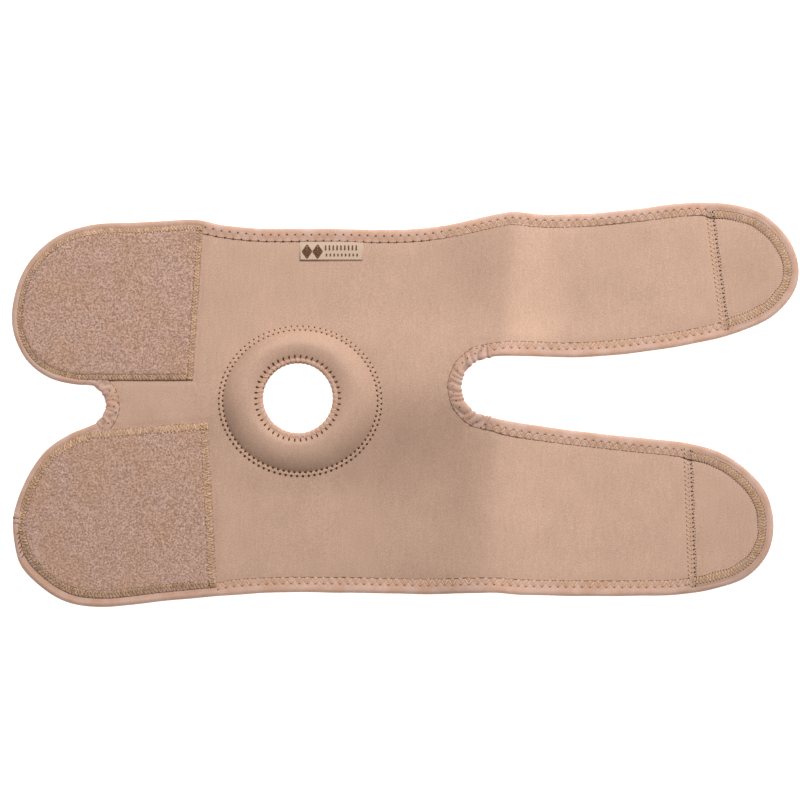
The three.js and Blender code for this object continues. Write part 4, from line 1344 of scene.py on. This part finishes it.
# Ring and rim
@dataclass
class KneecapRing:
    """The padded ring round the hole, sewn down along its oval edge, and the tape round the hole's rim."""

    size: BraceSizes
    panel: Panel
    crest: float = 8.0
    crest_share: tuple[float, float] = (0.31, -0.12)
    rim_share: tuple[float, float] = (0.58, 0.04)
    stations: int = 880
    across: int = 46
    stitches: int = 88
    outer_row: float = 0.8
    inner_row: float = 3.4
    mark_radii: tuple[float, float] = (0.74, 0.84)
    rim_stitches: int = 46

    def place(self, turn: Array, share: Array) -> Array:
        """Flat place at a clockwise turn and a share of the way from the rim to the oval edge."""
        start = self.size.hole_radius + self.size.rim_width - 1.6
        round_place = np.stack([np.cos(turn), -np.sin(turn)], axis=-1)
        half = np.array([self.size.ring_length, self.size.ring_width]) / 2
        oval = np.array(self.size.ring_shift) + round_place * half
        return start * round_place * (1 - share[..., None]) + oval * share[..., None]

    def breadth(self, turn: Array) -> Array:
        """Distance from the rim to the oval edge at each turn."""
        zero = np.zeros_like(turn)
        return np.linalg.norm(self.place(turn, zero + 1) - self.place(turn, zero), axis=-1)

    def height(self, turn: Array, share: Array) -> Array:
        """Height of the cushion's cover.

        It falls ever steeper from the crest both to the inner row of stitches and in to the rim, with dents
        at the stitches of both rows. The crest lies nearer to the rim, and the rim higher, on the calf side
        than on the thigh side: mean + swing * sin(turn).

        Args:
            turn: Clockwise turns, radians.
            share: Shares of the way across.

        Returns:
            Heights above the surface that the brace lies on.
        """
        foot = 1 - (self.inner_row + 0.2) / self.breadth(turn)
        crest, rim = (mean + swing * np.sin(turn) for mean, swing in (self.crest_share, self.rim_share))
        out = np.clip((share - crest) / (foot - crest), 0, 1)
        back = np.clip((crest - share) / crest, 0, 1)
        inwards = 1 - (1 - rim) * back**1.7
        rise = np.where(share > crest, 1 - out**1.9, inwards)
        place = self.place(turn, share)
        lumps = 0.3 * Lumps(15, 11).at(place[..., 0] + 300, place[..., 1] + 300) * np.sin(np.pi * share)
        from_edge = (1 - share) * self.breadth(turn)
        phase = np.mod(turn * self.stitches / (2 * np.pi), 1.0)
        gap = self.size.ring_length * np.pi / self.stitches
        along_outer, along_inner = (phase - 0.5) * gap, (np.mod(phase + 0.5, 1.0) - 0.5) * gap
        dents = 0.25 * bell(np.hypot(along_outer, from_edge - self.outer_row), 0.9)
        dents = dents + 0.35 * bell(np.hypot(along_inner, from_edge - self.inner_row), 1.0)
        between = 0.1 * bell(from_edge - (self.outer_row + self.inner_row) / 2, 1.0)
        tucked = 0.3 * (1 - smooth_step(from_edge, 0.0, 0.9))
        seat = self.panel.level(place) + self.panel.lie.at(place[..., 0], place[..., 1]) + 0.1
        return seat + self.crest * rise + lumps + between - dents - tucked

    def crown(self, turn: Array) -> Array:
        """Height of the rim tape's crown, level with the cushion's cover beside it."""
        mean, swing = self.rim_share
        return self.size.panel + 0.15 + self.crest * (mean + swing * np.sin(turn))

    def build(self, shop: Workshop) -> list[bpy.types.Object]:
        """Makes the cushion, the rim's tape and their threads."""
        turn = np.linspace(0, 2 * np.pi, self.stations, endpoint=False)[:, None]
        even = np.linspace(0, 1, self.across)
        share = np.sin(even * np.pi / 2)[None, :] * 0.35 + even * 0.65
        share = share + np.zeros_like(turn)
        turns = turn + np.zeros_like(share)
        top = np.concatenate([self.place(turns, share), self.height(turns, share)[..., None]], axis=-1)
        back = np.linspace(1, 0, 6)[None, :] + np.zeros_like(turn)
        flat = self.place(turn + np.zeros_like(back), back)
        seat = self.size.panel - 0.8 + self.panel.lie.at(flat[..., 0], flat[..., 1])
        under = np.concatenate([flat, seat[..., None]], axis=-1)
        points, faces = loft(np.concatenate([top, under], axis=1), closed=True)
        # The cushion's tone carries the same patches of painted shade and painted highlight as the knit.
        cushion = Shape().add(points, faces, self.panel.painted_light(points[:, 0], points[:, 1]))
        made = [shop.piece("ring_cushion", cushion, Cloth.RING_KNIT, Slot.NEOPRENE, ("kneecap_ring",))]
        made.append(self._rim(shop))
        made += self._threads(shop)
        return made

    def _rim(self, shop: Workshop) -> bpy.types.Object:
        """The tape rolled round the rim: a section carried round the hole, puffed between its stitches."""
        turn = np.linspace(0, 2 * np.pi, 504, endpoint=False)[:, None]
        phase = np.mod(turn * self.rim_stitches / (2 * np.pi), 1.0)
        puff = np.abs(np.sin(np.pi * phase)) ** 0.7
        around = np.radians(np.linspace(90, -90, 12))[None, :]
        inner, outer = self.size.hole_radius, self.size.hole_radius + 4.6
        roll = 2.0
        top_r = np.linspace(outer, inner + roll, 9)[None, :]
        edge_r = inner + roll - roll * np.cos(around)
        low_r = np.linspace(inner + roll, outer, 5)[None, :]
        crown = self.crown(turn) + 0.34 * puff
        top_z = crown - (0.7 - 0.4 * puff) * smooth_step(top_r, outer - 2.6, outer - 0.1)
        edge_z = crown / 2 + crown / 2 * np.sin(around)
        wide = np.zeros_like(turn)
        low_z = np.zeros_like(low_r) + wide
        radius = np.concatenate([top_r + wide, edge_r - 0.4 * puff, low_r + wide], axis=1)
        height = np.concatenate([top_z, edge_z, low_z], axis=1)
        # Seen clockwise, this section's outward side is the inner one, so the section runs the other way.
        points = np.stack([radius * np.cos(turn), -radius * np.sin(turn), height], axis=-1)[:, ::-1]
        shape = Shape().add(*loft(points, closed=True), 0.9)
        return shop.piece("rim_tape", shape, Cloth.TAPE, Slot.TAPE, ("hole_edging",))

    def _threads(self, shop: Workshop) -> list[bpy.types.Object]:
        """Needle marks of both rows and of the rim, and the short threads between them."""
        step = 2 * np.pi / self.stitches
        outer_turn = (np.arange(self.stitches) + 0.5) * step
        inner_turn = np.arange(self.stitches) * step
        marks = Shape()
        # Dark beads on both rows of stitches: the thread there, and painted shade of the needle holes.
        rows = zip((outer_turn, inner_turn), (self.outer_row, self.inner_row), self.mark_radii)
        for turn, row, radius in rows:
            share = 1 - row / self.breadth(turn)
            centre = np.column_stack([self.place(turn, share), self.height(turn, share) + 0.38])
            marks.add(*beads(centre, radius * (1 + 0.25 * np.sin(turn)), 0.35))
        rim_turn = (np.arange(self.rim_stitches) * 2 * np.pi / self.rim_stitches)[:, None]
        share = np.array([0.3, 1.0, 1.8, 2.5]) / self.breadth(rim_turn)
        turns = rim_turn + np.zeros_like(share)
        height = self.height(turns, share)[..., None] + 0.12
        strokes = np.concatenate([self.place(turns, share), height], axis=-1)
        marks.add(*tubes(strokes, np.array([0.3, 0.55, 0.62, 0.35])))
        # Painted shade: dark dashes along the hole's edge on its upper left, where the rim's inner face turns
        # from the light.
        painted_light_places = np.radians(np.linspace(195, 285, 15))[:, None] + np.linspace(0, 0.045, 4)[None, :]
        edge = np.stack([np.full_like(painted_light_places, self.size.hole_radius + 0.55), self.crown(painted_light_places) - 0.6], axis=-1)
        strokes = np.stack([edge[..., 0] * np.cos(painted_light_places), -edge[..., 0] * np.sin(painted_light_places), edge[..., 1]], axis=-1)
        marks.add(*tubes(strokes, 0.34))
        threads = Shape().add(*tubes(self._legs(outer_turn, inner_turn), 0.2))
        half = np.pi / self.rim_stitches
        radius = self.size.hole_radius + np.linspace(4.4, 0.9, 6) + np.zeros_like(rim_turn)
        turns = rim_turn + half * np.linspace(0, 1, 6)
        height = np.array([0.15, 0.35, 0.45, 0.45, 0.3, -0.2]) + self.crown(rim_turn)
        strokes = np.stack([radius * np.cos(turns), -radius * np.sin(turns), height], axis=-1)
        threads.add(*tubes(strokes, 0.24))
        return [
            shop.piece("ring_needle_marks", marks, Cloth.DARK_STITCH_AND_HOLE_SHADE, Slot.THREAD),
            shop.piece("ring_zigzag", threads, Cloth.PALE_THREAD, Slot.THREAD),
        ]

    def _legs(self, outer_turn: Array, inner_turn: Array) -> Array:
        """Threads from each outer hole to the inner holes on both sides of it."""
        t = np.linspace(0, 1, 6)[None, :]
        pairs = [(outer_turn, inner_turn), (outer_turn, inner_turn + 2 * np.pi / self.stitches)]
        paths = []
        for a, b in pairs:
            turn = a[:, None] * (1 - t) + b[:, None] * t
            from_edge = self.outer_row * (1 - t) + self.inner_row * t + np.zeros_like(turn)
            share = 1 - from_edge / self.breadth(turn)
            lift = 0.06 + 0.08 * np.sin(np.pi * t) + np.zeros_like(turn)
            flat = self.place(turn, share)
            paths.append(np.concatenate([flat, (self.height(turn, share) + lift)[..., None]], axis=-1))
        return np.concatenate(paths)


# Pads, tabs and label
@dataclass
class LoopPad:
    """A pad of brushed pile on a wing, sewn down all round with a close zigzag."""

    name: str
    node: str
    size: BraceSizes
    lie: Lie
    border: Loop
    seed: int
    base: float = 4.75
    thickness: float = 1.35
    step: float = 0.85
    fibres: int = 17000
    seam: Zigzag = Zigzag(2.1, 0.6, 3.9, radius=0.28, bow=0.16, sway=0.18, places=4)

    def top(self, places: Array, depth: Array) -> Array:
        """Height of the pile: pressed down under the seam, full and a little uneven inside it."""
        x, y = places[..., 0] + 700, places[..., 1] + 700
        full = self.thickness * smooth_step(depth, 1.6, 5.6) + 0.1 * smooth_step(depth, 0.0, 1.2)
        rough = 0.1 * Lumps(2.6, self.seed).at(x, y) + 0.09 * Lumps(1.3, self.seed + 1).at(x, y)
        wave = 0.22 * Lumps(24, self.seed + 2).at(x, y)
        inside = smooth_step(depth, 2.6, 4.8)
        height = self.base + full + rough * (0.25 + 0.75 * inside) + wave * inside
        return height + self.lie.at(places[..., 0], places[..., 1])

    def build(self, shop: Workshop) -> list[bpy.types.Object]:
        """Makes the pad, its fibres and its seam."""
        s = np.linspace(0, self.border.length, int(self.border.length / 0.9), endpoint=False)
        depths = enumerate((0.9, 1.8, 2.7, 3.6, 4.5))
        rows = [self.border.at(s + 0.3 * k, np.full_like(s, d)) for k, d in depths]
        grid = scatter(self.border.points.min(0), self.border.points.max(0), self.step, self.seed)
        depth = self.border.depth(grid)
        places, triangles = filled(self.border.at(s), np.vstack([*rows, grid[depth > 5.0]]))
        depth = self.border.depth(places)
        bottom = self.lie.at(places[:, 0], places[:, 1]) + 4.15
        points, faces = slab(places, triangles, self.top(places, depth), bottom)
        # Painted shade: the pile is 8% darker in the pressed band under its seam.
        shape = Shape().add(points, faces, np.tile(1 - 0.08 * (1 - smooth_step(depth, 2.8, 4.2)), 2))
        pad = shop.piece(self.name, shape, Cloth.PILE, Slot.PILE, (self.node,))
        return [pad, self._fibres(shop, grid[self.border.depth(grid) > 3.2]), *self._seam(shop)]

    def _fibres(self, shop: Workshop, grid: Array) -> bpy.types.Object:
        """Short bent fibres on the pile, each a spindle of three sides: two ends and a triangle between."""
        rng = np.random.default_rng(self.seed + 5)
        root = grid[rng.integers(0, len(grid), self.fibres)]
        root = root + rng.uniform(-0.5, 0.5, (self.fibres, 2)) * self.step
        heading = rng.uniform(0, 2 * np.pi, self.fibres)
        length = rng.uniform(0.6, 1.5, self.fibres)
        ahead = np.stack([np.cos(heading), np.sin(heading)], axis=1)
        bend = np.stack([-ahead[:, 1], ahead[:, 0]], axis=1) * rng.uniform(-0.35, 0.35, (self.fibres, 1))
        places = [root, root + (0.5 * ahead + bend) * length[:, None], root + ahead * length[:, None]]
        heights = [self.top(p, np.full(len(p), 9.0)) for p in places]
        lift = rng.uniform(0.12, 0.4, self.fibres)
        middle = np.column_stack([places[1], heights[1] + lift])
        turn = 2 * np.pi * np.arange(3) / 3 + np.pi / 2
        side = np.column_stack([-ahead[:, 1], ahead[:, 0], np.zeros(self.fibres)])
        up = np.array([0.0, 0.0, 1.0])
        ring = middle[:, None] + 0.09 * (side[:, None] * np.cos(turn)[:, None] + up * np.sin(turn)[:, None])
        start = np.column_stack([places[0], heights[0] - 0.05])[:, None]
        end = np.column_stack([places[2], heights[2] + 0.02])[:, None]
        points = np.concatenate([start, ring, end], axis=1)
        base = (np.arange(self.fibres) * 5)[:, None, None]
        fan = np.array([[0, 2, 1], [0, 3, 2], [0, 1, 3], [4, 1, 2], [4, 2, 3], [4, 3, 1]])
        tone = np.repeat(rng.uniform(0.72, 1.22, self.fibres), 5)
        shape = Shape().add(points.reshape(-1, 3), [(base + fan).reshape(-1, 3)], tone)
        return shop.piece(self.name + "_fibres", shape, Cloth.FIBRE, Slot.PILE)

    def _seam(self, shop: Workshop) -> list[bpy.types.Object]:
        """The close zigzag round the pad, with a dark needle mark at each outer turn."""
        s, d, lift = self.seam.legs(0.0, self.border.length)
        place = self.border.at(s, d)
        height = self.top(place.reshape(-1, 2), d.reshape(-1)).reshape(s.shape) + lift
        path = np.concatenate([place, height[..., None]], axis=-1)
        tone = np.random.default_rng(self.seed + 9).uniform(0.65, 1.2, len(path))
        points, faces = tubes(path, self.seam.radius)
        threads = Shape().add(points, faces, np.repeat(tone, len(points) // len(path)))
        hole_s, hole_d = self.seam.holes(0.0, self.border.length)
        spot = self.border.at(hole_s, hole_d)
        height = self.top(spot, hole_d) + 0.02
        spots = np.column_stack([spot, height + 0.1])
        # Beads at the seam's holes: the thread there, and painted shade of the needle holes.
        marks = Shape().add(*beads(spots[1::2], 0.34, 0.25)).add(*beads(spots[::2], 0.46, 0.24))
        return [
            shop.piece(self.name + "_zigzag", threads, Cloth.GOLD_THREAD, Slot.THREAD),
            shop.piece(self.name + "_marks", marks, Cloth.BROWN_STITCH_AND_SHADE, Slot.THREAD),
        ]


@dataclass
class StrapTip:
    """The hook tab under a strap's tip, and the seams that hold it and show on the upper face."""

    name: str
    node: str
    size: BraceSizes
    lie: Lie
    border: Loop
    panel: Panel
    seed: int
    hook_pitch: float = 1.9
    seam_pitch: float = 3.06
    seam_width: float = 2.3
    dark_row: float = 4.3
    band_end: float = 5.3
    band_pitch: float = 1.95
    seam: Zigzag = Zigzag(2.2, 0.2, 4.7, radius=0.26, bow=0.16, sway=0.25, places=5)

    def build(self, shop: Workshop) -> list[bpy.types.Object]:
        """Makes the tab with its hooks, and the seams above it."""
        s = np.linspace(0, self.border.length, int(self.border.length / 1.5), endpoint=False)
        grid = scatter(self.border.points.min(0), self.border.points.max(0), 3.0, self.seed)
        places, triangles = filled(self.border.at(s), grid[self.border.depth(grid) > 1.5])
        lie = self.lie.at(places[:, 0], places[:, 1]) - 1.5
        shape = Shape().add(*slab(places, triangles, lie + 1.35, lie + 0.75))
        shape.add(*self._hooks())
        tab = shop.piece(self.name, shape, Cloth.HOOKS, Slot.HOOKS, (self.node,))
        return [tab, *self._seam(shop)]

    def _hooks(self) -> tuple[Array, list[Array]]:
        """Rows of small bent hooks below the tab: each goes down, and its end turns back up."""
        low, high = self.border.points.min(0), self.border.points.max(0)
        columns, rows = (np.arange(low[k], high[k], self.hook_pitch) for k in (0, 1))
        x, y = np.meshgrid(columns, rows)
        flat = np.stack([x, y], axis=-1).reshape(-1, 2)
        flat = flat[self.border.depth(flat) > 6.5]
        base = self.lie.at(flat[:, 0], flat[:, 1]) - 0.7
        reach, drop = np.array([0.0, 0.05, 0.4, 0.7]), np.array([0.0, -0.45, -0.66, -0.4])
        across = np.repeat(flat[:, 1:], 4, axis=1)
        path = np.stack([flat[:, :1] + reach, across, base[:, None] + drop], axis=-1)
        return tubes(path, 0.13, sides=4)

    def _seam(self, shop: Workshop) -> list[bpy.types.Object]:
        """The band of zigzag round the tip, and the two rows across the strap."""
        s, d, lift = self.seam.legs(0.0, self.border.length)
        tip = self.size.beyond_tab_seam(self.border.at(s, d).mean(axis=1)) > 3.5
        s, d, lift = s[tip], d[tip], lift[tip]
        place = self.border.at(s, d)
        path = np.concatenate([place, (self.panel.face(place) + lift)[..., None]], axis=-1)
        tone = np.random.default_rng(self.seed).uniform(0.7, 1.15, len(path))
        points, faces = tubes(path, self.seam.radius)
        threads = Shape().add(points, faces, np.repeat(tone, len(points) // len(path)))
        hole_s, hole_d = self.seam.holes(0.0, self.border.length)
        # Dark beads along the band and at its holes: the thread there, and painted shade of the needle holes.
        along = np.arange(0.0, self.border.length, self.band_pitch)
        spot = self.border.at(along, self.band_end + 0.25 * np.sin(along / 3.0))
        spot = spot[self.size.beyond_tab_seam(spot) > 4.5]
        marks = Shape().add(*beads(np.column_stack([spot, self.panel.face(spot) + 0.2]), 0.4, 0.28))
        spot = self.border.at(hole_s, hole_d)[1::2]
        spot = spot[self.size.beyond_tab_seam(spot) > 4.5]
        marks.add(*beads(np.column_stack([spot, self.panel.face(spot) + 0.1]), 0.44, 0.24))
        pale = Shape()
        self._across(pale, marks)
        return [
            shop.piece(self.name + "_zigzag", threads, Cloth.GOLD_THREAD, Slot.THREAD),
            shop.piece(self.name + "_cross", pale, Cloth.PALE_THREAD, Slot.THREAD),
            shop.piece(self.name + "_marks", marks, Cloth.DARK_STITCH_AND_HOLE_SHADE, Slot.THREAD),
        ]

    def _across(self, threads: Shape, marks: Shape) -> None:
        """Adds the seam across the strap: a fine zigzag, and a row of dark holes beyond it.

        Args:
            threads: Shape that takes the threads.
            marks: Shape that takes the needle marks.
        """
        low, high = self.border.points[:, 1].min() - 8, self.border.points[:, 1].max() + 8
        y = np.arange(low, high, self.seam_pitch / 2)
        upper = self.border.points[:, 1].mean() > self.size.slot[1]
        seam = self.size.upper_tab_seam(y) if upper else self.size.lower_tab_seam(y)
        side = np.where(np.arange(len(y)) % 2 == 0, 0.0, self.seam_width)
        holes = np.stack([seam + side, y], axis=1)
        keep = self.panel.outline.depth(holes) > 4.2
        holes, side = holes[keep], side[keep]
        t = np.linspace(0, 1, 5)[None, :, None]
        flat = holes[:-1, None] * (1 - t) + holes[1:, None] * t
        lift = 0.16 + 0.1 * np.sin(np.pi * t[..., 0])
        path = np.concatenate([flat, (self.panel.face(flat) + lift)[..., None]], axis=-1)
        threads.add(*tubes(path, 0.2))
        # Beads at the holes and a row of dark beads beyond: the thread there, and painted shade of the holes.
        face = self.panel.face(holes)[:, None] + 0.14
        marks.add(*beads(np.concatenate([holes, face], axis=1), 0.5, 0.24))
        dark = holes[side > 0] + np.array([self.dark_row - self.seam_width, 0.4])
        marks.add(*beads(np.column_stack([dark, self.panel.face(dark) + 0.16]), 0.64, 0.3))


@dataclass
class Label:
    """The small woven label under the thigh edge, with a plain pattern of lozenges and bars."""

    size: BraceSizes
    lie: Lie
    foot_height: float = 4.85
    tuck: float = 0.75
    lozenges: tuple[float, float] = (5.0, 12.2)
    bars: int = 9
    bar_pitch: float = 2.6

    def build(self, shop: Workshop) -> list[bpy.types.Object]:
        """Makes the ribbon and its woven pattern."""
        length, height = self.size.label
        x0, y1 = self.size.label_start, self.size.thigh_y - self.size.tape_width
        corners = np.array([[x0, y1 - height], [x0, y1], [x0 + length, y1], [x0 + length, y1 - height]])
        border = Loop.through(corners, 0.5)
        grid = scatter(corners.min(0), corners.max(0), 1.0, 5)
        places, triangles = filled(corners, grid[border.depth(grid) > 0.6])
        shape = Shape().add(*slab(places, triangles, self._top(places), np.full(len(places), 3.4)))
        ribbon = shop.piece("label_ribbon", shape, Cloth.LABEL, Slot.LABEL, ("woven_label",))
        return [ribbon, self._pattern(shop)]

    def _top(self, places: Array) -> Array:
        """Height of the ribbon: low where the tape holds its top, and faintly wavy along its foot."""
        x = (places[..., 0] - self.size.label_start) / self.size.label[0]
        below = self.size.thigh_y - self.size.tape_width - places[..., 1]
        wave = 0.1 * np.sin(np.pi * np.clip(x, 0, 1)) + 0.06 * np.sin(x * 9)
        return self.foot_height - self.tuck * (1 - smooth_step(below, 0, 5)) + wave

    def _pattern(self, shop: Workshop) -> bpy.types.Object:
        """Brown woven lines: an edge along the foot, two pairs of lozenges and two rows of upright bars."""
        length, height = self.size.label
        x0, y1 = self.size.label_start, self.size.thigh_y - self.size.tape_width
        foot, middle = y1 - height + 0.5, y1 - height / 2 - 0.3
        lines = [((x0 + 0.4, foot), (x0 + length - 0.4, foot))]
        for across in self.lozenges:
            for reach in (3.1, 1.9, 0.8):
                centre, tall = x0 + across, reach * 1.45
                corners = [(centre - reach, middle), (centre, middle + tall), (centre + reach, middle),
                           (centre, middle - tall), (centre - reach, middle)]
                lines += list(zip(corners[:-1], corners[1:]))
        for k in range(self.bars):
            bar = x0 + 17.6 + self.bar_pitch * k
            lines.append(((bar, middle + 0.9), (bar, middle + 4.1)))
            lines.append(((bar + 0.6, middle - 3.2), (bar + 0.6, middle - 1.5)))
        ends = np.array(lines)
        t = np.linspace(0, 1, 5)[None, :, None]
        flat = ends[:, :1] * (1 - t) + ends[:, 1:] * t
        path = np.concatenate([flat, (self._top(flat) + 0.02)[..., None]], axis=-1)
        shape = Shape().add(*tubes(path[:1], 0.22)).add(*tubes(path[1:], 0.55))
        return shop.piece("label_pattern", shape, Cloth.LABEL_THREAD, Slot.LABEL)


# Studio
@dataclass(frozen=True)
class Studio:
    """A pale floor, one large soft light from the far right, an even fill, and a camera straight above."""

    frame_width: float = 0.5445
    centre: tuple[float, float] = (-0.0036, 0.0033)
    lens: float = 100.0
    sensor: float = 36.0
    mean_height: float = 0.004
    key_power: float = 32.0
    key_size: float = 0.8
    key_azimuth: float = 68.0
    key_elevation: float = 54.0
    key_distance: float = 1.9
    fill: float = 0.2
    floor_colour: tuple[int, int, int] = (226, 226, 228)

    def build(self) -> None:
        """Makes the floor, the lights and the camera."""
        self._floor()
        self._key()
        world = bpy.data.worlds.new("studio_fill")
        world.use_nodes = True
        world.node_tree.nodes["Background"].inputs["Color"].default_value = (1.0, 0.94, 0.88, 1)
        world.node_tree.nodes["Background"].inputs["Strength"].default_value = self.fill
        scene = bpy.context.scene
        scene.world = world
        scene.view_settings.view_transform = "Standard"
        camera = bpy.data.cameras.new("overhead")
        camera.lens, camera.sensor_width = self.lens, self.sensor
        rig = bpy.data.objects.new("overhead", camera)
        rig.location = (*self.centre, self.mean_height + self.frame_width * self.lens / self.sensor)
        scene.collection.objects.link(rig)
        scene.camera = rig

    def _floor(self) -> None:
        """A flat pale floor just under the brace."""
        mesh = bpy.data.meshes.new("floor")
        half, low = 3.0, -0.0002
        mesh.from_pydata([(-half, -half, low), (half, -half, low), (half, half, low), (-half, half, low)], [],
                         [(0, 1, 2, 3)])
        material = bpy.data.materials.new("pale_floor")
        material.use_nodes = True
        shader = material.node_tree.nodes["Principled BSDF"]
        shader.inputs["Base Color"].default_value = (*linear(self.floor_colour), 1)
        shader.inputs["Roughness"].default_value = 1.0
        shader.inputs["Specular IOR Level"].default_value = 0.0
        shader.inputs["Emission Color"].default_value = (1, 1, 1, 1)
        shader.inputs["Emission Strength"].default_value = 0.95
        mesh.materials.append(material)
        floor = bpy.data.objects.new("floor", mesh)
        bpy.context.scene.collection.objects.link(floor)

    def _key(self) -> None:
        """The large soft light, aimed at the middle of the brace."""
        light = bpy.data.lights.new("key", "AREA")
        light.shape, light.size, light.energy = "SQUARE", self.key_size, self.key_power
        rig = bpy.data.objects.new("key", light)
        a, e = math.radians(self.key_azimuth), math.radians(self.key_elevation)
        away = Vector((math.cos(a) * math.cos(e), math.sin(a) * math.cos(e), math.sin(e)))
        rig.location = away * self.key_distance
        rig.rotation_euler = away.to_track_quat("Z", "Y").to_euler()
        bpy.context.scene.collection.objects.link(rig)


# Assembly
class KneeBrace:
    """The whole brace, put together from its sub-assemblies."""

    def __init__(self, shop: Workshop) -> None:
        """Sets out the outline, the way it lies and the borders of what is sewn on."""
        self.shop = shop
        self.size = BraceSizes()
        self.lie = Lie(self.size)
        self.outline = outline_of(self.size)
        self.tape = FoldedTape(self.size, self.outline, self.lie)

    def pad_borders(self) -> tuple[Loop, Loop]:
        """Borders of the two pads: the inset outline, cut at the seam and beside the notch."""
        size = self.size
        deeper = size.lower_pad_extra * smooth_step(-self.outline.points[:, 1], 84, 120)
        line = self.outline.points - (size.pad_inset + deeper)[:, None] * self.outline.normals
        seam = (size.upper_wing_root, size.thigh_y)
        upper = cut(cut(line, seam, (1.0, -size.upper_pad_slant)), (0.0, size.upper_pad_foot), (0.0, -1.0))
        seam = (size.lower_wing_root, size.calf_y)
        lower = cut(line, seam, (1.0, -size.lower_pad_slant))
        slope = size.lower_pad_rise / (size.lower_wing_root - size.notch[0])
        lower = cut(lower, (size.notch[0], size.lower_pad_top), (-slope, 1.0))
        return Loop.through(upper, 0.5), Loop.through(lower, 0.5)

    def tip_borders(self) -> tuple[Loop, Loop]:
        """Borders of the two hook tabs: the inset outline beyond each strap's seam."""
        size = self.size
        line = self.outline.points - size.tab_inset * self.outline.normals
        seam = (float(size.upper_tab_seam(size.thigh_y)), size.thigh_y)
        upper = cut(cut(line, size.slot, (0.0, -1.0)), seam, (-1.0, size.upper_tab_slant))
        seam = (float(size.lower_tab_seam(size.calf_y)), size.calf_y)
        lower = cut(cut(line, size.slot, (0.0, 1.0)), seam, (-1.0, size.lower_tab_slant))
        return Loop.through(upper, 0.5), Loop.through(lower, 0.5)

    def build(self) -> None:
        cloth = Panel(self.size, self.outline, self.tape, self.lie)
        panel = cloth.build(self.shop)
        sewn = TapeSewing(self.shop, self.tape).build()
        ring = KneecapRing(self.size, cloth).build(self.shop)
        upper, lower = self.pad_borders()
        upper_pad = LoopPad("upper_pile", "upper_loop_pad", self.size, self.lie, upper, 21)
        wide = Zigzag(2.4, 0.7, 5.2, radius=0.3, bow=0.18, sway=0.25, places=5)
        lower_pad = LoopPad("lower_pile", "lower_loop_pad", self.size, self.lie, lower, 41, seam=wide)
        piles = [pad.build(self.shop)[0] for pad in (upper_pad, lower_pad)]
        upper, lower = self.tip_borders()
        upper_tip = StrapTip("upper_hooks", "upper_hook_tab", self.size, self.lie, upper, cloth, 61)
        lower_tip = StrapTip("lower_hooks", "lower_hook_tab", self.size, self.lie, lower, cloth, 71)
        tips = [piece for tip in (upper_tip, lower_tip) for piece in tip.build(self.shop)]
        label = Label(self.size, self.lie).build(self.shop)


def main() -> None:
    """Builds the brace and its studio."""
    logging.basicConfig(level=logging.INFO, format="%(name)s %(message)s")
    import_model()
    KneeBrace(Workshop()).build()
    Studio().build()


if __name__ == "__main__":
    main()
